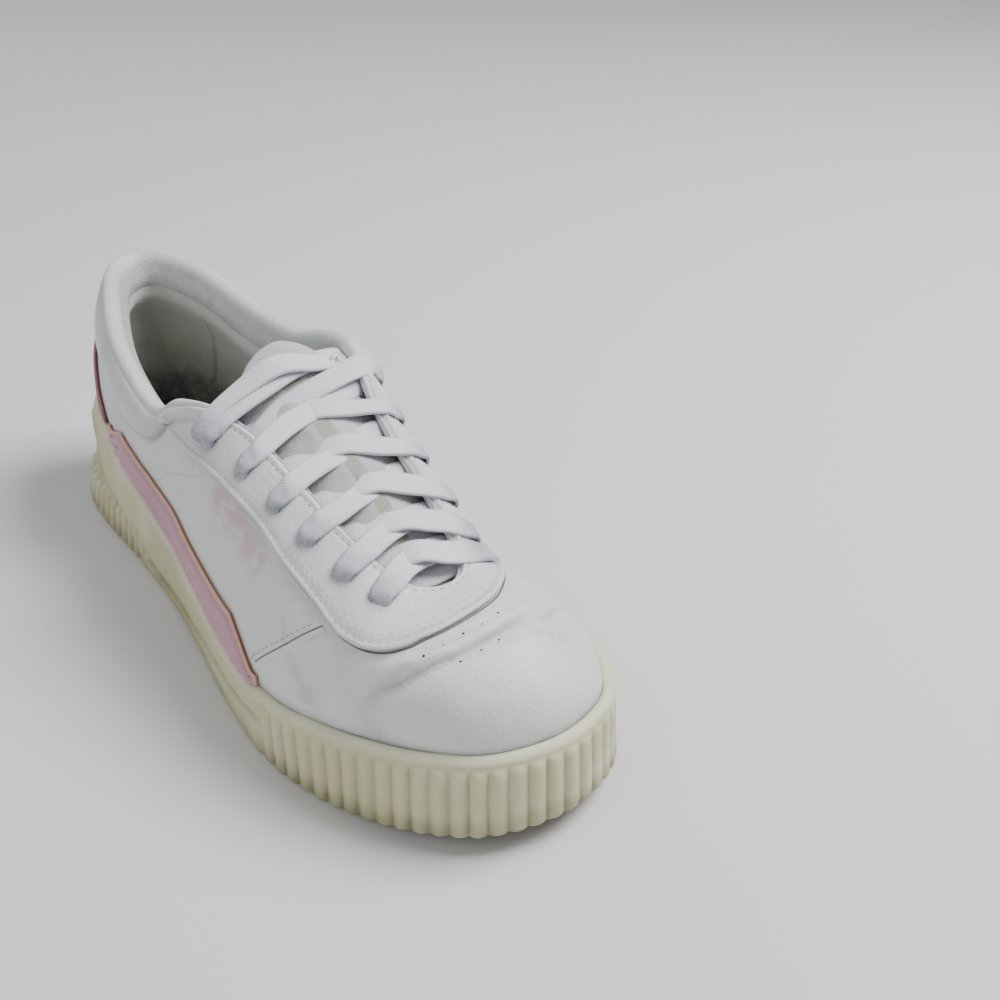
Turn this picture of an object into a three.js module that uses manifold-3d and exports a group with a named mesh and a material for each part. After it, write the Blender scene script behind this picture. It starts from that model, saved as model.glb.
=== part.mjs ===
// A worn low court sneaker for the right foot, standing empty on its sole.
// Millimetres. +X is the wearer's right, which is the lateral side, +Y runs from heel to toe and +Z is up.
import * as THREE from "three";
import { mergeVertices } from "three/addons/utils/BufferGeometryUtils.js";
import Module from "manifold-3d";

const wasm = await Module();
wasm.setup();

// The sole
const SOLE_LENGTH = 268;
const BALL_WIDTH = 98;
const HEEL_WIDTH = 73;
const TOE_SPRING = 8;
const SPRING_START = 0.775;
const HEEL_SPRING = 1.2;
const HEEL_ROUND = 0.05;
const ARCH_RISE = 1.2;
const ARCH_BACK = 0.34;
const ARCH_FRONT = 0.58;

// The cup that the sole makes round the foot
const RIM_HEIGHT = 40;
const RIM_FLARE = 7;
const CUP_WALL = 1.8;
const RIM_EDGE = 0.8;
const FOOTBED_HEEL = 20;
const FOOTBED_FRONT = 11;
const RIB_PITCH = 5.6;
const RIB_DEPTH = 1.9;
const RIB_TOP_MARGIN = 3.2;
const TOE_RIB_START = 0.715;
const HEEL_RIB_END = 0.3;
const HEEL_BAND = 13;
const STEP_HEIGHT = 9.5;
const STEP_DEPTH = 0.8;
const PLAIN_SPACING = 11;

// The tread plate under the cup
const TREAD_RIM = 4.8;
const TREAD_PLATE = 4;
const GROOVE_DEPTH = 1.5;
const GROOVE_TURN = -0.065;
const TOE_GROOVE = 2.2;
const HEEL_GROOVE = 4.8;

// The upper
const COLLAR_HEIGHT = 87;
const INSTEP_HEIGHT = 92;
const LEATHER = 1.9;
const COLLAR_PAD = 4;
const LIP_ROUND = 0.3;
const OVERLAY = 1.3;
const GAP = 0.3;
const SEAT_GAP = 0.5;
const EYESTAY_ANKLE = 13;
const EYESTAY_TOE = 21.5;
const EYESTAY_FROM_EDGE = 0.8;
const COLLAR_SEAM = 9.5;
const OVERLAY_FROM_RIM = 1;
const PANEL_HEIGHT = 15;
const PANEL_SLANT = 0.12;
const TAB_TOP = 0.82;

// The insole, tongue and laces
const INSOLE = 3.5;
const INSOLE_PLAY = 1.6;
const TONGUE = 4;
const TONGUE_TUCK = 11;
const TONGUE_ARCH = 4.5;
const TONGUE_RISE = 6;
const HOLE_RADIUS = 2.4;
const HOLE_INSET = 9;
const LACE_WIDTH = 8;
const LACE_THICKNESS = 1.3;
const LACE_ARCH = 4;
const LACE_LIFT = 1.3;
const LACE_PAST_HOLE = 1.5;

// How finely the solids are cut
const UPPER_COLUMNS = 68;
const PLATE_COLUMNS = 80;
const EYESTAY_COLUMNS = 60;
const PANEL_COLUMNS = 22;
const TAB_COLUMNS = 18;
const HOLE_SIDES = 6;
const LACE_STEPS = 6;
const LACE_DETAIL = 0.05;

// From the outline, which the crests of the ribs touch, to the inside of the cup.
const CUP_INSET = RIB_DEPTH + CUP_WALL;

const LATERAL = 1;
const MEDIAL = -1;
const UP = new THREE.Vector3(0, 0, 1);
const { clamp, lerp, smoothstep } = THREE.MathUtils;

// Outline of the sole: share of the length, then the medial and lateral shares of the width there.
const OUTLINE = [
  [0.01, -0.192, 0.274], [0.03, -0.281, 0.37], [0.06, -0.37, 0.438], [0.1, -0.436, 0.486],
  [0.15, -0.482, 0.507], [0.2, -0.499, 0.51], [0.3, -0.435, 0.494], [0.4, -0.325, 0.446],
  [0.5, -0.348, 0.431], [0.6, -0.456, 0.466], [0.7, -0.508, 0.49], [0.75, -0.509, 0.483],
  [0.8, -0.499, 0.452], [0.85, -0.47, 0.405], [0.9, -0.43, 0.342], [0.94, -0.367, 0.27],
  [0.97, -0.296, 0.194], [0.99, -0.194, 0.092],
];
const HEEL_TIP = 0.04;
const TOE_TIP = -0.052;

// Sections of the last, from the heel round the lateral side to the toe and back along the medial side.
// A row holds: side, seat along the sole; opening edge across, along and up with the height that its
// share is of; cup rim and its flare; handle at the rim (up, out); handle at the edge (down, out); pad.
const SECTIONS = [
  [LATERAL, 0, -0.01, 0.049, 1.012, COLLAR_HEIGHT, 1, -0.8, 0.35, 0.04, 0.36, 0.13, 1],
  [LATERAL, 0.05, 0.112, 0.075, 1.005, COLLAR_HEIGHT, 0.98, -1, 0.35, 0.02, 0.36, 0.09, 1],
  [LATERAL, 0.14, 0.219, 0.152, 0.975, COLLAR_HEIGHT, 0.86, -1, 0.35, 0, 0.35, 0.06, 1],
  [LATERAL, 0.25, 0.291, 0.235, 0.885, COLLAR_HEIGHT, 0.71, -0.5, 0.35, 0, 0.33, 0.05, 1],
  [LATERAL, 0.345, 0.291, 0.336, 0.747, COLLAR_HEIGHT, 0.635, -0.25, 0.35, 0.01, 0.33, 0.08, 1],
  [LATERAL, 0.42, 0.276, 0.403, 0.851, COLLAR_HEIGHT, 0.605, -0.1, 0.35, 0.01, 0.33, 0.12, 1],
  [LATERAL, 0.48, 0.235, 0.478, 0.875, INSTEP_HEIGHT, 0.57, 0, 0.38, 0, 0.24, 0.26, 0.5],
  [LATERAL, 0.56, 0.194, 0.552, 0.864, INSTEP_HEIGHT, 0.54, 0, 0.4, 0, 0.17, 0.34, 0],
  [LATERAL, 0.65, 0.184, 0.634, 0.821, INSTEP_HEIGHT, 0.54, 0, 0.45, 0, 0.16, 0.34, 0],
  [LATERAL, 0.73, 0.173, 0.709, 0.766, INSTEP_HEIGHT, 0.6, 0, 0.48, 0, 0.14, 0.36, 0],
  [LATERAL, 0.81, 0.143, 0.769, 0.701, INSTEP_HEIGHT, 0.65, -0.1, 0.5, 0.02, 0.1, 0.45, 0],
  [LATERAL, 0.91, 0.087, 0.804, 0.641, INSTEP_HEIGHT, 0.66, -0.2, 0.55, 0.03, 0.05, 0.8, 0],
  [LATERAL, 1, 0.01, 0.817, 0.625, INSTEP_HEIGHT, 0.63, -0.2, 0.6, 0.03, -0.02, 1, 0],
  [MEDIAL, 0.91, -0.061, 0.808, 0.636, INSTEP_HEIGHT, 0.64, -0.2, 0.4, -0.08, 0.12, 0.75, 0],
  [MEDIAL, 0.82, -0.107, 0.772, 0.679, INSTEP_HEIGHT, 0.64, -0.1, 0.22, -0.22, 0.25, 0.42, 0],
  [MEDIAL, 0.74, -0.122, 0.72, 0.755, INSTEP_HEIGHT, 0.6, 0, 0.14, -0.28, 0.16, 0.32, 0],
  [MEDIAL, 0.67, -0.138, 0.653, 0.837, INSTEP_HEIGHT, 0.55, 0.1, 0.16, -0.26, 0.14, 0.28, 0],
  [MEDIAL, 0.6, -0.173, 0.586, 0.913, INSTEP_HEIGHT, 0.54, 0.2, 0.28, -0.12, 0.14, 0.22, 0],
  [MEDIAL, 0.53, -0.235, 0.522, 1, INSTEP_HEIGHT, 0.56, 0.3, 0.35, 0, 0.28, 0.14, 0.5],
  [MEDIAL, 0.45, -0.286, 0.44, 1, COLLAR_HEIGHT, 0.6, 0.6, 0.36, 0, 0.33, 0.08, 1],
  [MEDIAL, 0.36, -0.286, 0.351, 0.914, COLLAR_HEIGHT, 0.66, 0.6, 0.35, 0, 0.33, 0.06, 1],
  [MEDIAL, 0.26, -0.26, 0.25, 0.92, COLLAR_HEIGHT, 0.74, 0, 0.35, 0.01, 0.33, 0.06, 1],
  [MEDIAL, 0.15, -0.224, 0.148, 0.972, COLLAR_HEIGHT, 0.87, -0.6, 0.35, 0, 0.34, 0.07, 1],
  [MEDIAL, 0.05, -0.133, 0.069, 1.01, COLLAR_HEIGHT, 0.98, -0.8, 0.35, 0.02, 0.36, 0.09, 1],
];
const STATIONS = SECTIONS.length;

// Heights at which the wall of the upper is cut: below the rim from -1 to 0, then up to the edge at 1.
const UPPER_LEVELS = [-1, -0.04, 0.06, 0.17, 0.3, 0.44, 0.58, 0.7, 0.81, 0.91, 1];

// Stations between which the overlays and the tongue lie.
const EYESTAY_ENDS = [5.3, 18.7];
const EYESTAY_WIDEST = 11.2;
const PANEL_LATERAL = [2.05, 8.6];
const PANEL_MEDIAL = [16.4, 21.95];
const TAB_REACH = [1.85, 1.15];
const TONGUE_LATERAL = [10.6, 6.15];
const TONGUE_MEDIAL = [13.4, 17.85];
const TONGUE_TOE = [11.1, 12.9];

// Stations of the lace holes along the opening edge, from the ankle down to the toe.
const LATERAL_HOLES = [6.5, 7.4, 8.2, 8.95, 9.75, 10.55];
const MEDIAL_HOLES = [17.65, 16.75, 15.9, 15.05, 14.25, 13.5];

// Middles of the transverse grooves of the tread, as shares of the length.
const TOE_GROOVES = [0.655, 0.708, 0.74, 0.785, 0.832, 0.872, 0.91];
const HEEL_GROOVES = [0.055, 0.1, 0.15, 0.2, 0.252];
// Corners of the recess in the waist of the tread: shares of the width and the length.
const WAIST_RECESS = [[0.08, 0.46], [-0.22, 0.464], [-0.16, 0.36]];

function makeMaterial(color, roughness) {
  return new THREE.MeshStandardMaterial({ color, roughness, metalness: 0 });
}

function soleWidth(share) {
  return lerp(HEEL_WIDTH, BALL_WIDTH, smoothstep(share, 0.25, 0.55));
}

// How far the underside of the sole stands off the floor.
function lift(y) {
  const share = clamp(y / SOLE_LENGTH, 0, 1);
  const toe = TOE_SPRING * Math.max(0, (share - SPRING_START) / (1 - SPRING_START)) ** 1.6;
  const heel = HEEL_SPRING * Math.max(0, 1 - share / HEEL_ROUND) ** 2;
  const archShare = clamp((share - ARCH_BACK) / (ARCH_FRONT - ARCH_BACK), 0, 1);
  return toe + heel + ARCH_RISE * Math.sin(Math.PI * archShare) ** 2;
}

function makeOutline() {
  const place = (share, across) => new THREE.Vector3(across * soleWidth(share), share * SOLE_LENGTH, 0);
  const lateral = OUTLINE.map(([share, , across]) => place(share, across));
  const medial = OUTLINE.map(([share, across]) => place(share, across)).reverse();
  const points = [place(0, HEEL_TIP), ...lateral, place(1, TOE_TIP), ...medial];
  const curve = new THREE.CatmullRomCurve3(points, true, "centripetal");
  curve.arcLengthDivisions = 1200;
  return curve;
}

const outline = makeOutline();

// A place on the outline, at a share of its length round from the heel, with its outward direction.
function outlineAt(share) {
  const wrapped = ((share % 1) + 1) % 1;
  const point = outline.getPointAt(wrapped);
  const tangent = outline.getTangentAt(wrapped);
  return { point, out: new THREE.Vector3(tangent.y, -tangent.x, 0).normalize() };
}

function bisect(low, high, isBelow) {
  let [from, to] = [low, high];
  for (let step = 0; step < 40; step += 1) {
    const middle = (from + to) / 2;
    if (isBelow(middle)) from = middle;
    else to = middle;
  }
  return (from + to) / 2;
}

const TOE_SHARE = bisect(0.4, 0.6, (share) => outline.getTangentAt(share).y > 0);

// The share round the outline where one side of it reaches a distance from the heel.
function shareAt(side, along) {
  const y = along * SOLE_LENGTH;
  if (along <= 0) return 0;
  if (along >= 1) return TOE_SHARE;
  if (side === LATERAL) return bisect(0, TOE_SHARE, (share) => outlineAt(share).point.y < y);
  return bisect(TOE_SHARE, 1, (share) => outlineAt(share).point.y > y);
}

// A smooth curve through one number of each section, read at any station.
function smoothColumn(values, turn = 0) {
  const at = (index) => values[((index % STATIONS) + STATIONS) % STATIONS] + turn * Math.floor(index / STATIONS);
  return (station) => {
    const start = Math.floor(station);
    const [a, b, c, d] = [start - 1, start, start + 1, start + 2].map(at);
    const s = station - start;
    return b + 0.5 * s * (c - a + s * (2 * a - 5 * b + 4 * c - d + s * (3 * (b - c) + d - a)));
  };
}

function sectionColumn(index, size) {
  return smoothColumn(SECTIONS.map((row) => row[index] * size));
}

const seatShare = smoothColumn(SECTIONS.map(([side, along]) => shareAt(side, along)), 1);
const edgeAcross = sectionColumn(2, BALL_WIDTH);
const edgeAlong = sectionColumn(3, SOLE_LENGTH);
const edgeUp = smoothColumn(SECTIONS.map((row) => row[4] * row[5]));
const rimHeight = sectionColumn(6, RIM_HEIGHT);
const rimFlare = sectionColumn(7, RIM_FLARE);
const rimHandleUp = sectionColumn(8, 1);
const rimHandleOut = sectionColumn(9, 1);
const edgeHandleDown = sectionColumn(10, 1);
const edgeHandleOut = sectionColumn(11, 1);
const collarPad = sectionColumn(12, COLLAR_PAD);

// The station whose section stands at a share round the outline.
function stationAt(share) {
  return bisect(-0.5, STATIONS + 0.5, (station) => seatShare(station) < share);
}

// Height of the footbed over the underside of the sole.
function footbed(y) {
  return lerp(FOOTBED_HEEL, FOOTBED_FRONT, smoothstep(y / SOLE_LENGTH, 0.25, 0.65));
}

// A point of the cup, at an offset from its flared outer wall and a height over its underside.
function cupPoint(share, offset, height) {
  const station = stationAt(share);
  const { point, out } = outlineAt(share);
  const flare = (rimFlare(station) * height) / rimHeight(station);
  return point.clone().addScaledVector(out, offset + flare).setZ(height + lift(point.y));
}

// A point of the last: level -1 is at the footbed, 0 at the cup's rim and 1 at the opening edge.
function lastPoint(station, level) {
  const share = seatShare(station);
  const { point, out } = outlineAt(share);
  const rim = rimHeight(station);
  const seat = (height) => {
    const offset = (rimFlare(station) * height) / rim - CUP_INSET - GAP;
    return point.clone().addScaledVector(out, offset).setZ(height + lift(point.y));
  };
  const start = seat(rim);
  if (level < 0) return start.lerp(seat(footbed(point.y) + SEAT_GAP), -level);
  const edge = new THREE.Vector3(edgeAcross(station), edgeAlong(station), edgeUp(station));
  const height = edge.z - start.z;
  const low = start.clone().addScaledVector(UP, rimHandleUp(station) * height)
    .addScaledVector(out, rimHandleOut(station) * height);
  const high = edge.clone().addScaledVector(UP, -edgeHandleDown(station) * height)
    .addScaledVector(out, edgeHandleOut(station) * height);
  return new THREE.CubicBezierCurve3(start, low, high, edge).getPoint(level);
}

// The outward direction of the last.
function lastNormal(station, level) {
  const reach = 0.02;
  const along = lastPoint(station + reach, level).sub(lastPoint(station - reach, level));
  const above = lastPoint(station, Math.min(1, level + reach));
  const below = lastPoint(station, Math.min(1, level + reach) - 2 * reach);
  return along.cross(above.sub(below)).normalize();
}

function offLast(station, level, distance) {
  return lastPoint(station, level).addScaledVector(lastNormal(station, level), distance);
}

// The level that lies a distance along the last from its opening edge.
function levelFromEdge(station, distance) {
  return levelAtLength(station, (length) => length - distance);
}

// The level that lies a distance along the last from the cup's rim.
function levelFromRim(station, distance) {
  return levelAtLength(station, () => distance);
}

function levelAtLength(station, pick) {
  const steps = 24;
  const points = Array.from({ length: steps + 1 }, (_, step) => lastPoint(station, step / steps));
  const lengths = [0];
  for (let step = 1; step <= steps; step += 1) {
    lengths.push(lengths[step - 1] + points[step].distanceTo(points[step - 1]));
  }
  const wanted = clamp(pick(lengths[steps]), 0, lengths[steps]);
  const next = Math.max(1, lengths.findIndex((length) => length >= wanted));
  const part = (wanted - lengths[next - 1]) / (lengths[next] - lengths[next - 1]);
  return (next - 1 + part) / steps;
}

function makeGeometry(points, triangles) {
  const geometry = new THREE.BufferGeometry();
  geometry.setAttribute("position", new THREE.Float32BufferAttribute(points.flatMap((p) => p.toArray()), 3));
  geometry.setIndex(triangles.flat());
  return geometry;
}

// Two triangles for each square between neighbouring rings of points.
function joinRings(rings, closed) {
  const count = rings[0].length;
  const triangles = [];
  const bands = closed ? rings.length : rings.length - 1;
  for (let band = 0; band < bands; band += 1) {
    const low = band * count;
    const high = ((band + 1) % rings.length) * count;
    for (let step = 0; step < count; step += 1) {
      const next = (step + 1) % count;
      triangles.push([low + step, low + next, high + next], [low + step, high + next, high + step]);
    }
  }
  return triangles;
}

// Closes a ring with triangles that run across the shoe, from its lateral to its medial side.
function capRing(ring, first, facesUp) {
  const count = ring.length;
  const order = ring.map((_, index) => index);
  const heel = order.reduce((best, index) => (ring[index].y < ring[best].y ? index : best));
  const toe = order.reduce((best, index) => (ring[index].y > ring[best].y ? index : best));
  const lateral = [];
  for (let index = heel; index !== toe; index = (index + 1) % count) lateral.push(index);
  const medial = [];
  for (let index = heel; index !== toe; index = (index + count - 1) % count) medial.push(index);
  lateral.push(toe);
  medial.push(toe);
  const triangles = [];
  let [right, left] = [0, 0];
  while (right < lateral.length - 1 || left < medial.length - 1) {
    const nextRight = right < lateral.length - 1 ? ring[lateral[right + 1]].y : Infinity;
    const nextLeft = left < medial.length - 1 ? ring[medial[left + 1]].y : Infinity;
    const corners = [lateral[right], 0, medial[left]];
    if (nextRight < nextLeft) {
      right += 1;
      corners[1] = lateral[right];
    } else {
      left += 1;
      corners[1] = medial[left];
    }
    if (new Set(corners).size === 3) triangles.push(corners.map((index) => index + first));
  }
  return facesUp ? triangles : triangles.map(([a, b, c]) => [a, c, b]);
}

function cappedLoft(rings) {
  const last = (rings.length - 1) * rings[0].length;
  const triangles = [
    ...joinRings(rings, false),
    ...capRing(rings[0], 0, false),
    ...capRing(rings[rings.length - 1], last, true),
  ];
  return makeGeometry(rings.flat(), triangles);
}

function evenShares(count) {
  return Array.from({ length: count }, (_, step) => step / count);
}

// Shares round the cup: a crest and a valley for each rib, and wider steps where the wall is plain.
function cupSteps() {
  const girth = outline.getLength();
  const stretches = [
    [0, shareAt(LATERAL, HEEL_RIB_END), true], [shareAt(LATERAL, HEEL_RIB_END), shareAt(LATERAL, TOE_RIB_START), false],
    [shareAt(LATERAL, TOE_RIB_START), shareAt(MEDIAL, TOE_RIB_START), true],
    [shareAt(MEDIAL, TOE_RIB_START), shareAt(MEDIAL, HEEL_RIB_END), false], [shareAt(MEDIAL, HEEL_RIB_END), 1, true],
  ];
  return stretches.flatMap(([from, to, ribbed]) => {
    const length = (to - from) * girth;
    const count = ribbed ? 2 * Math.round(length / RIB_PITCH) : Math.round(length / PLAIN_SPACING);
    return Array.from({ length: count }, (_, step) => ({
      share: lerp(from, to, step / count),
      ribbed,
      crest: step % 2 === 1,
    }));
  });
}

// Height of the band that carries the ribs, or of the step where the wall is plain.
function bandHeight(share, rim) {
  const along = outlineAt(share).point.y / SOLE_LENGTH;
  if (along > TOE_RIB_START) return rim - RIB_TOP_MARGIN;
  return lerp(HEEL_BAND, STEP_HEIGHT, smoothstep(along, HEEL_RIB_END - 0.02, HEEL_RIB_END + 0.02));
}

// How far the plain wall over the band stands back from the outline.
function wallSetback(share) {
  const along = outlineAt(share).point.y / SOLE_LENGTH;
  const ribbed = Math.max(
    smoothstep(along, TOE_RIB_START - 0.01, TOE_RIB_START + 0.01),
    1 - smoothstep(along, HEEL_RIB_END - 0.02, HEEL_RIB_END + 0.02),
  );
  return lerp(STEP_DEPTH, RIB_DEPTH, ribbed);
}

function makeCupsole() {
  const steps = cupSteps();
  const ring = (offset, height) => steps.map((step) => {
    const rim = rimHeight(stationAt(step.share));
    const y = outlineAt(step.share).point.y;
    return cupPoint(step.share, offset(step), height({ ...step, rim, y }));
  });
  const band = (step) => (step.ribbed && !step.crest ? -RIB_DEPTH : 0);
  const wall = (step) => -wallSetback(step.share);
  const rings = [
    ring(() => -TREAD_RIM, () => TREAD_PLATE),
    ring(() => -TREAD_RIM, () => 0),
    ring(band, () => 0),
    ring(band, ({ share, rim }) => bandHeight(share, rim) - RIM_EDGE),
    ring(wall, ({ share, rim }) => bandHeight(share, rim) + RIM_EDGE),
    ring(wall, ({ rim }) => rim - RIM_EDGE),
    ring((step) => wall(step) - RIM_EDGE, ({ rim }) => rim),
    ring(() => -CUP_INSET, ({ rim }) => rim),
    ring(() => -CUP_INSET, ({ y }) => footbed(y)),
  ];
  return cappedLoft(rings);
}

function toSolid(geometry) {
  const bare = new THREE.BufferGeometry();
  bare.setAttribute("position", geometry.getAttribute("position").clone());
  if (geometry.index) bare.setIndex(geometry.index.clone());
  const merged = mergeVertices(bare, 1e-5);
  return new wasm.Manifold(new wasm.Mesh({
    numProp: 3,
    vertProperties: new Float32Array(merged.getAttribute("position").array),
    triVerts: new Uint32Array(merged.index.array),
  }));
}

function toGeometry(solid) {
  const mesh = solid.getMesh();
  const geometry = new THREE.BufferGeometry();
  geometry.setAttribute("position", new THREE.BufferAttribute(new Float32Array(mesh.vertProperties), 3));
  geometry.setIndex(new THREE.BufferAttribute(new Uint32Array(mesh.triVerts), 1));
  return geometry;
}

function subtractAll(geometry, cutters) {
  return toGeometry(cutters.reduce((solid, cutter) => solid.subtract(toSolid(cutter)), toSolid(geometry)));
}

// A groove across the tread, as deep as the plate there allows.
function grooveCutter(along, width) {
  const y = along * SOLE_LENGTH;
  const cutter = new THREE.BoxGeometry(1.4 * soleWidth(along), width, 2 * GROOVE_DEPTH);
  cutter.rotateX(Math.atan2(lift(y + 1) - lift(y - 1), 2));
  cutter.rotateZ(GROOVE_TURN);
  return cutter.translate(0, y, lift(y));
}

function waistCutter() {
  const corners = WAIST_RECESS.map(([across, along]) => (
    new THREE.Vector2(across * soleWidth(along), along * SOLE_LENGTH)));
  const cutter = new THREE.ExtrudeGeometry(new THREE.Shape(corners), { depth: 2 * GROOVE_DEPTH, bevelEnabled: false });
  return cutter.translate(0, 0, lift(corners[0].y) - GROOVE_DEPTH);
}

function makeOutsole() {
  const shares = evenShares(PLATE_COLUMNS);
  const ring = (height) => shares.map((share) => cupPoint(share, -TREAD_RIM - GAP, height));
  const plate = cappedLoft([ring(0), ring(TREAD_PLATE - GAP - 0.2)]);
  const cutters = [
    ...TOE_GROOVES.map((along) => grooveCutter(along, TOE_GROOVE)),
    ...HEEL_GROOVES.map((along) => grooveCutter(along, HEEL_GROOVE)),
    waistCutter(),
  ];
  return subtractAll(plate, cutters);
}

function makeInsole() {
  const inset = CUP_INSET + GAP + LEATHER + INSOLE_PLAY;
  const ring = (offset, height) => evenShares(PLATE_COLUMNS).map((share) => {
    const { point, out } = outlineAt(share);
    const station = stationAt(share);
    const floor = footbed(point.y);
    const flare = (rimFlare(station) * floor) / rimHeight(station);
    return point.clone().addScaledVector(out, flare - offset).setZ(floor + height + lift(point.y));
  });
  return cappedLoft([ring(inset, SEAT_GAP), ring(inset, INSOLE), ring(inset + 1, SEAT_GAP + INSOLE)]);
}

// Thickness of the wall: plain leather, swelling to the padded roll under the collar's edge.
function wallThickness(station, level) {
  const roll = smoothstep(level, 0.5, 0.85) * (1 - 0.45 * smoothstep(level, 0.9, 1));
  return LEATHER + Math.max(0, collarPad(station)) * roll;
}

function makeUpper(holes) {
  const stations = evenShares(UPPER_COLUMNS).map((share) => share * STATIONS);
  const outer = UPPER_LEVELS.map((level) => stations.map((station) => lastPoint(station, level)));
  const inner = UPPER_LEVELS.map((level) => (
    stations.map((station) => offLast(station, level, -wallThickness(station, level)))));
  inner[0].forEach((point, index) => point.setZ(outer[0][index].z));
  const top = UPPER_LEVELS.length - 1;
  const lip = stations.map((station, index) => (
    outer[top][index].clone().lerp(inner[top][index], 0.5)
      .addScaledVector(UP, LIP_ROUND * wallThickness(station, 1))));
  const rings = [...outer, lip, ...inner.reverse()];
  return subtractAll(makeGeometry(rings.flat(), joinRings(rings, true)), holes);
}

// A sheet that lies on the last, with its edges at the places that a function of two shares gives.
function makeOverlay(place, columns, rows) {
  const grid = (distance) => Array.from({ length: rows + 1 }, (_, row) => (
    Array.from({ length: columns + 1 }, (__, column) => {
      const [station, level] = place(column / columns, row / rows);
      return offLast(station, level, distance);
    })));
  const outer = grid(GAP + OVERLAY);
  const inner = grid(GAP);
  return makeSheet(outer, inner);
}

// Closes the space between two grids of points, the first of which faces outwards.
function makeSheet(outer, inner) {
  const rows = outer.length - 1;
  const columns = outer[0].length - 1;
  const stride = columns + 1;
  const back = stride * (rows + 1);
  const triangles = [];
  const quad = (a, b, c, d) => triangles.push([a, b, c], [a, c, d]);
  for (let row = 0; row < rows; row += 1) {
    for (let column = 0; column < columns; column += 1) {
      const a = row * stride + column;
      quad(a, a + 1, a + stride + 1, a + stride);
      quad(back + a, back + a + stride, back + a + stride + 1, back + a + 1);
    }
  }
  for (let column = 0; column < columns; column += 1) {
    const low = column;
    const high = rows * stride + column;
    quad(low, back + low, back + low + 1, low + 1);
    quad(high, high + 1, back + high + 1, back + high);
  }
  for (let row = 0; row < rows; row += 1) {
    const near = row * stride;
    const far = near + columns;
    quad(near, near + stride, back + near + stride, back + near);
    quad(far, back + far, back + far + stride, far + stride);
  }
  return makeGeometry([...outer.flat(), ...inner.flat()], triangles);
}

// A band round the throat, widest at the toe, whose ends slip under the padded collar.
function makeEyestay(holes) {
  const [from, to] = EYESTAY_ENDS;
  const place = (across, up) => {
    const station = lerp(from, to, across);
    const toeward = smoothstep(1 - Math.abs(station - EYESTAY_WIDEST) / (EYESTAY_WIDEST - from), 0, 1);
    const border = levelFromEdge(station, lerp(EYESTAY_ANKLE, EYESTAY_TOE, toeward));
    const collar = smoothstep(Math.min(station - from, to - station), 0, 1);
    const top = levelFromEdge(station, lerp(COLLAR_SEAM, EYESTAY_FROM_EDGE, collar));
    return [station, lerp(border, top, up)];
  };
  return subtractAll(makeOverlay(place, EYESTAY_COLUMNS, 3), holes);
}

// A low panel along the cup's rim, with its ends cut on a slant.
function makeSidePanel([from, to]) {
  const place = (across, up) => {
    const station = lerp(from, to, across);
    const rise = PANEL_HEIGHT * clamp(Math.min(across, 1 - across) / PANEL_SLANT, 0.2, 1);
    const low = levelFromRim(station, OVERLAY_FROM_RIM);
    return [station, lerp(low, levelFromRim(station, OVERLAY_FROM_RIM + rise), up)];
  };
  return makeOverlay(place, PANEL_COLUMNS, 3);
}

function makeHeelTab() {
  const place = (across, up) => {
    const reach = lerp(TAB_REACH[0], TAB_REACH[1], up);
    const station = lerp(-reach, reach, across);
    return [station, lerp(levelFromRim(station, OVERLAY_FROM_RIM), TAB_TOP, up)];
  };
  return makeOverlay(place, TAB_COLUMNS, 5);
}

function makeHoles() {
  return [...LATERAL_HOLES, ...MEDIAL_HOLES].map((station) => {
    const cutter = new THREE.CylinderGeometry(HOLE_RADIUS, HOLE_RADIUS, 12, HOLE_SIDES);
    const level = levelFromEdge(station, HOLE_INSET);
    cutter.applyQuaternion(new THREE.Quaternion().setFromUnitVectors(
      new THREE.Vector3(0, 1, 0), lastNormal(station, level)));
    const center = lastPoint(station, level);
    return cutter.translate(center.x, center.y, center.z);
  });
}

// A point under the wall of the upper, as close as the tongue may come to it.
function underUpper(station, level) {
  return offLast(station, level, -wallThickness(station, level) - 3 * GAP);
}

// One row of points across the tongue, at a share of its way up the throat.
function tongueRow(along, rise) {
  const [lateral, medial] = [TONGUE_LATERAL, TONGUE_MEDIAL].map(([low, high]) => lerp(low, high, along));
  const tucked = (station) => underUpper(station, levelFromEdge(station, TONGUE_TUCK));
  const ends = [underUpper(lateral, 1), underUpper(medial, 1)];
  const height = TONGUE_ARCH * smoothstep(along, 0, 0.3);
  const middle = [0.2, 0.4, 0.6, 0.8].map((share) => {
    const arch = 4 * share * (1 - share);
    return ends[0].clone().lerp(ends[1], share).addScaledVector(UP, arch * height)
      .addScaledVector(new THREE.Vector3(0, -0.8, 0.6), arch * rise);
  });
  return [tucked(lateral), ends[0], ...middle, ends[1], tucked(medial)];
}

function makeTongue() {
  const vampRow = (distance) => Array.from({ length: 8 }, (_, step) => {
    const station = lerp(TONGUE_TOE[0], TONGUE_TOE[1], step / 7);
    return underUpper(station, levelFromEdge(station, distance));
  });
  const rows = [
    vampRow(8), vampRow(1),
    ...[0, 0.14, 0.28, 0.42, 0.56, 0.7, 0.84, 1].map((along) => tongueRow(along, 0)),
    tongueRow(1, TONGUE_RISE),
  ];
  const inner = rows.map((row, index) => row.map((point, column) => {
    const before = row[Math.max(0, column - 1)];
    const after = row[Math.min(row.length - 1, column + 1)];
    const near = rows[Math.max(0, index - 1)][column];
    const far = rows[Math.min(rows.length - 1, index + 1)][column];
    const normal = after.clone().sub(before).cross(far.clone().sub(near)).normalize();
    return point.clone().addScaledVector(normal, -TONGUE);
  }));
  return makeSheet(rows, inner);
}

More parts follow.
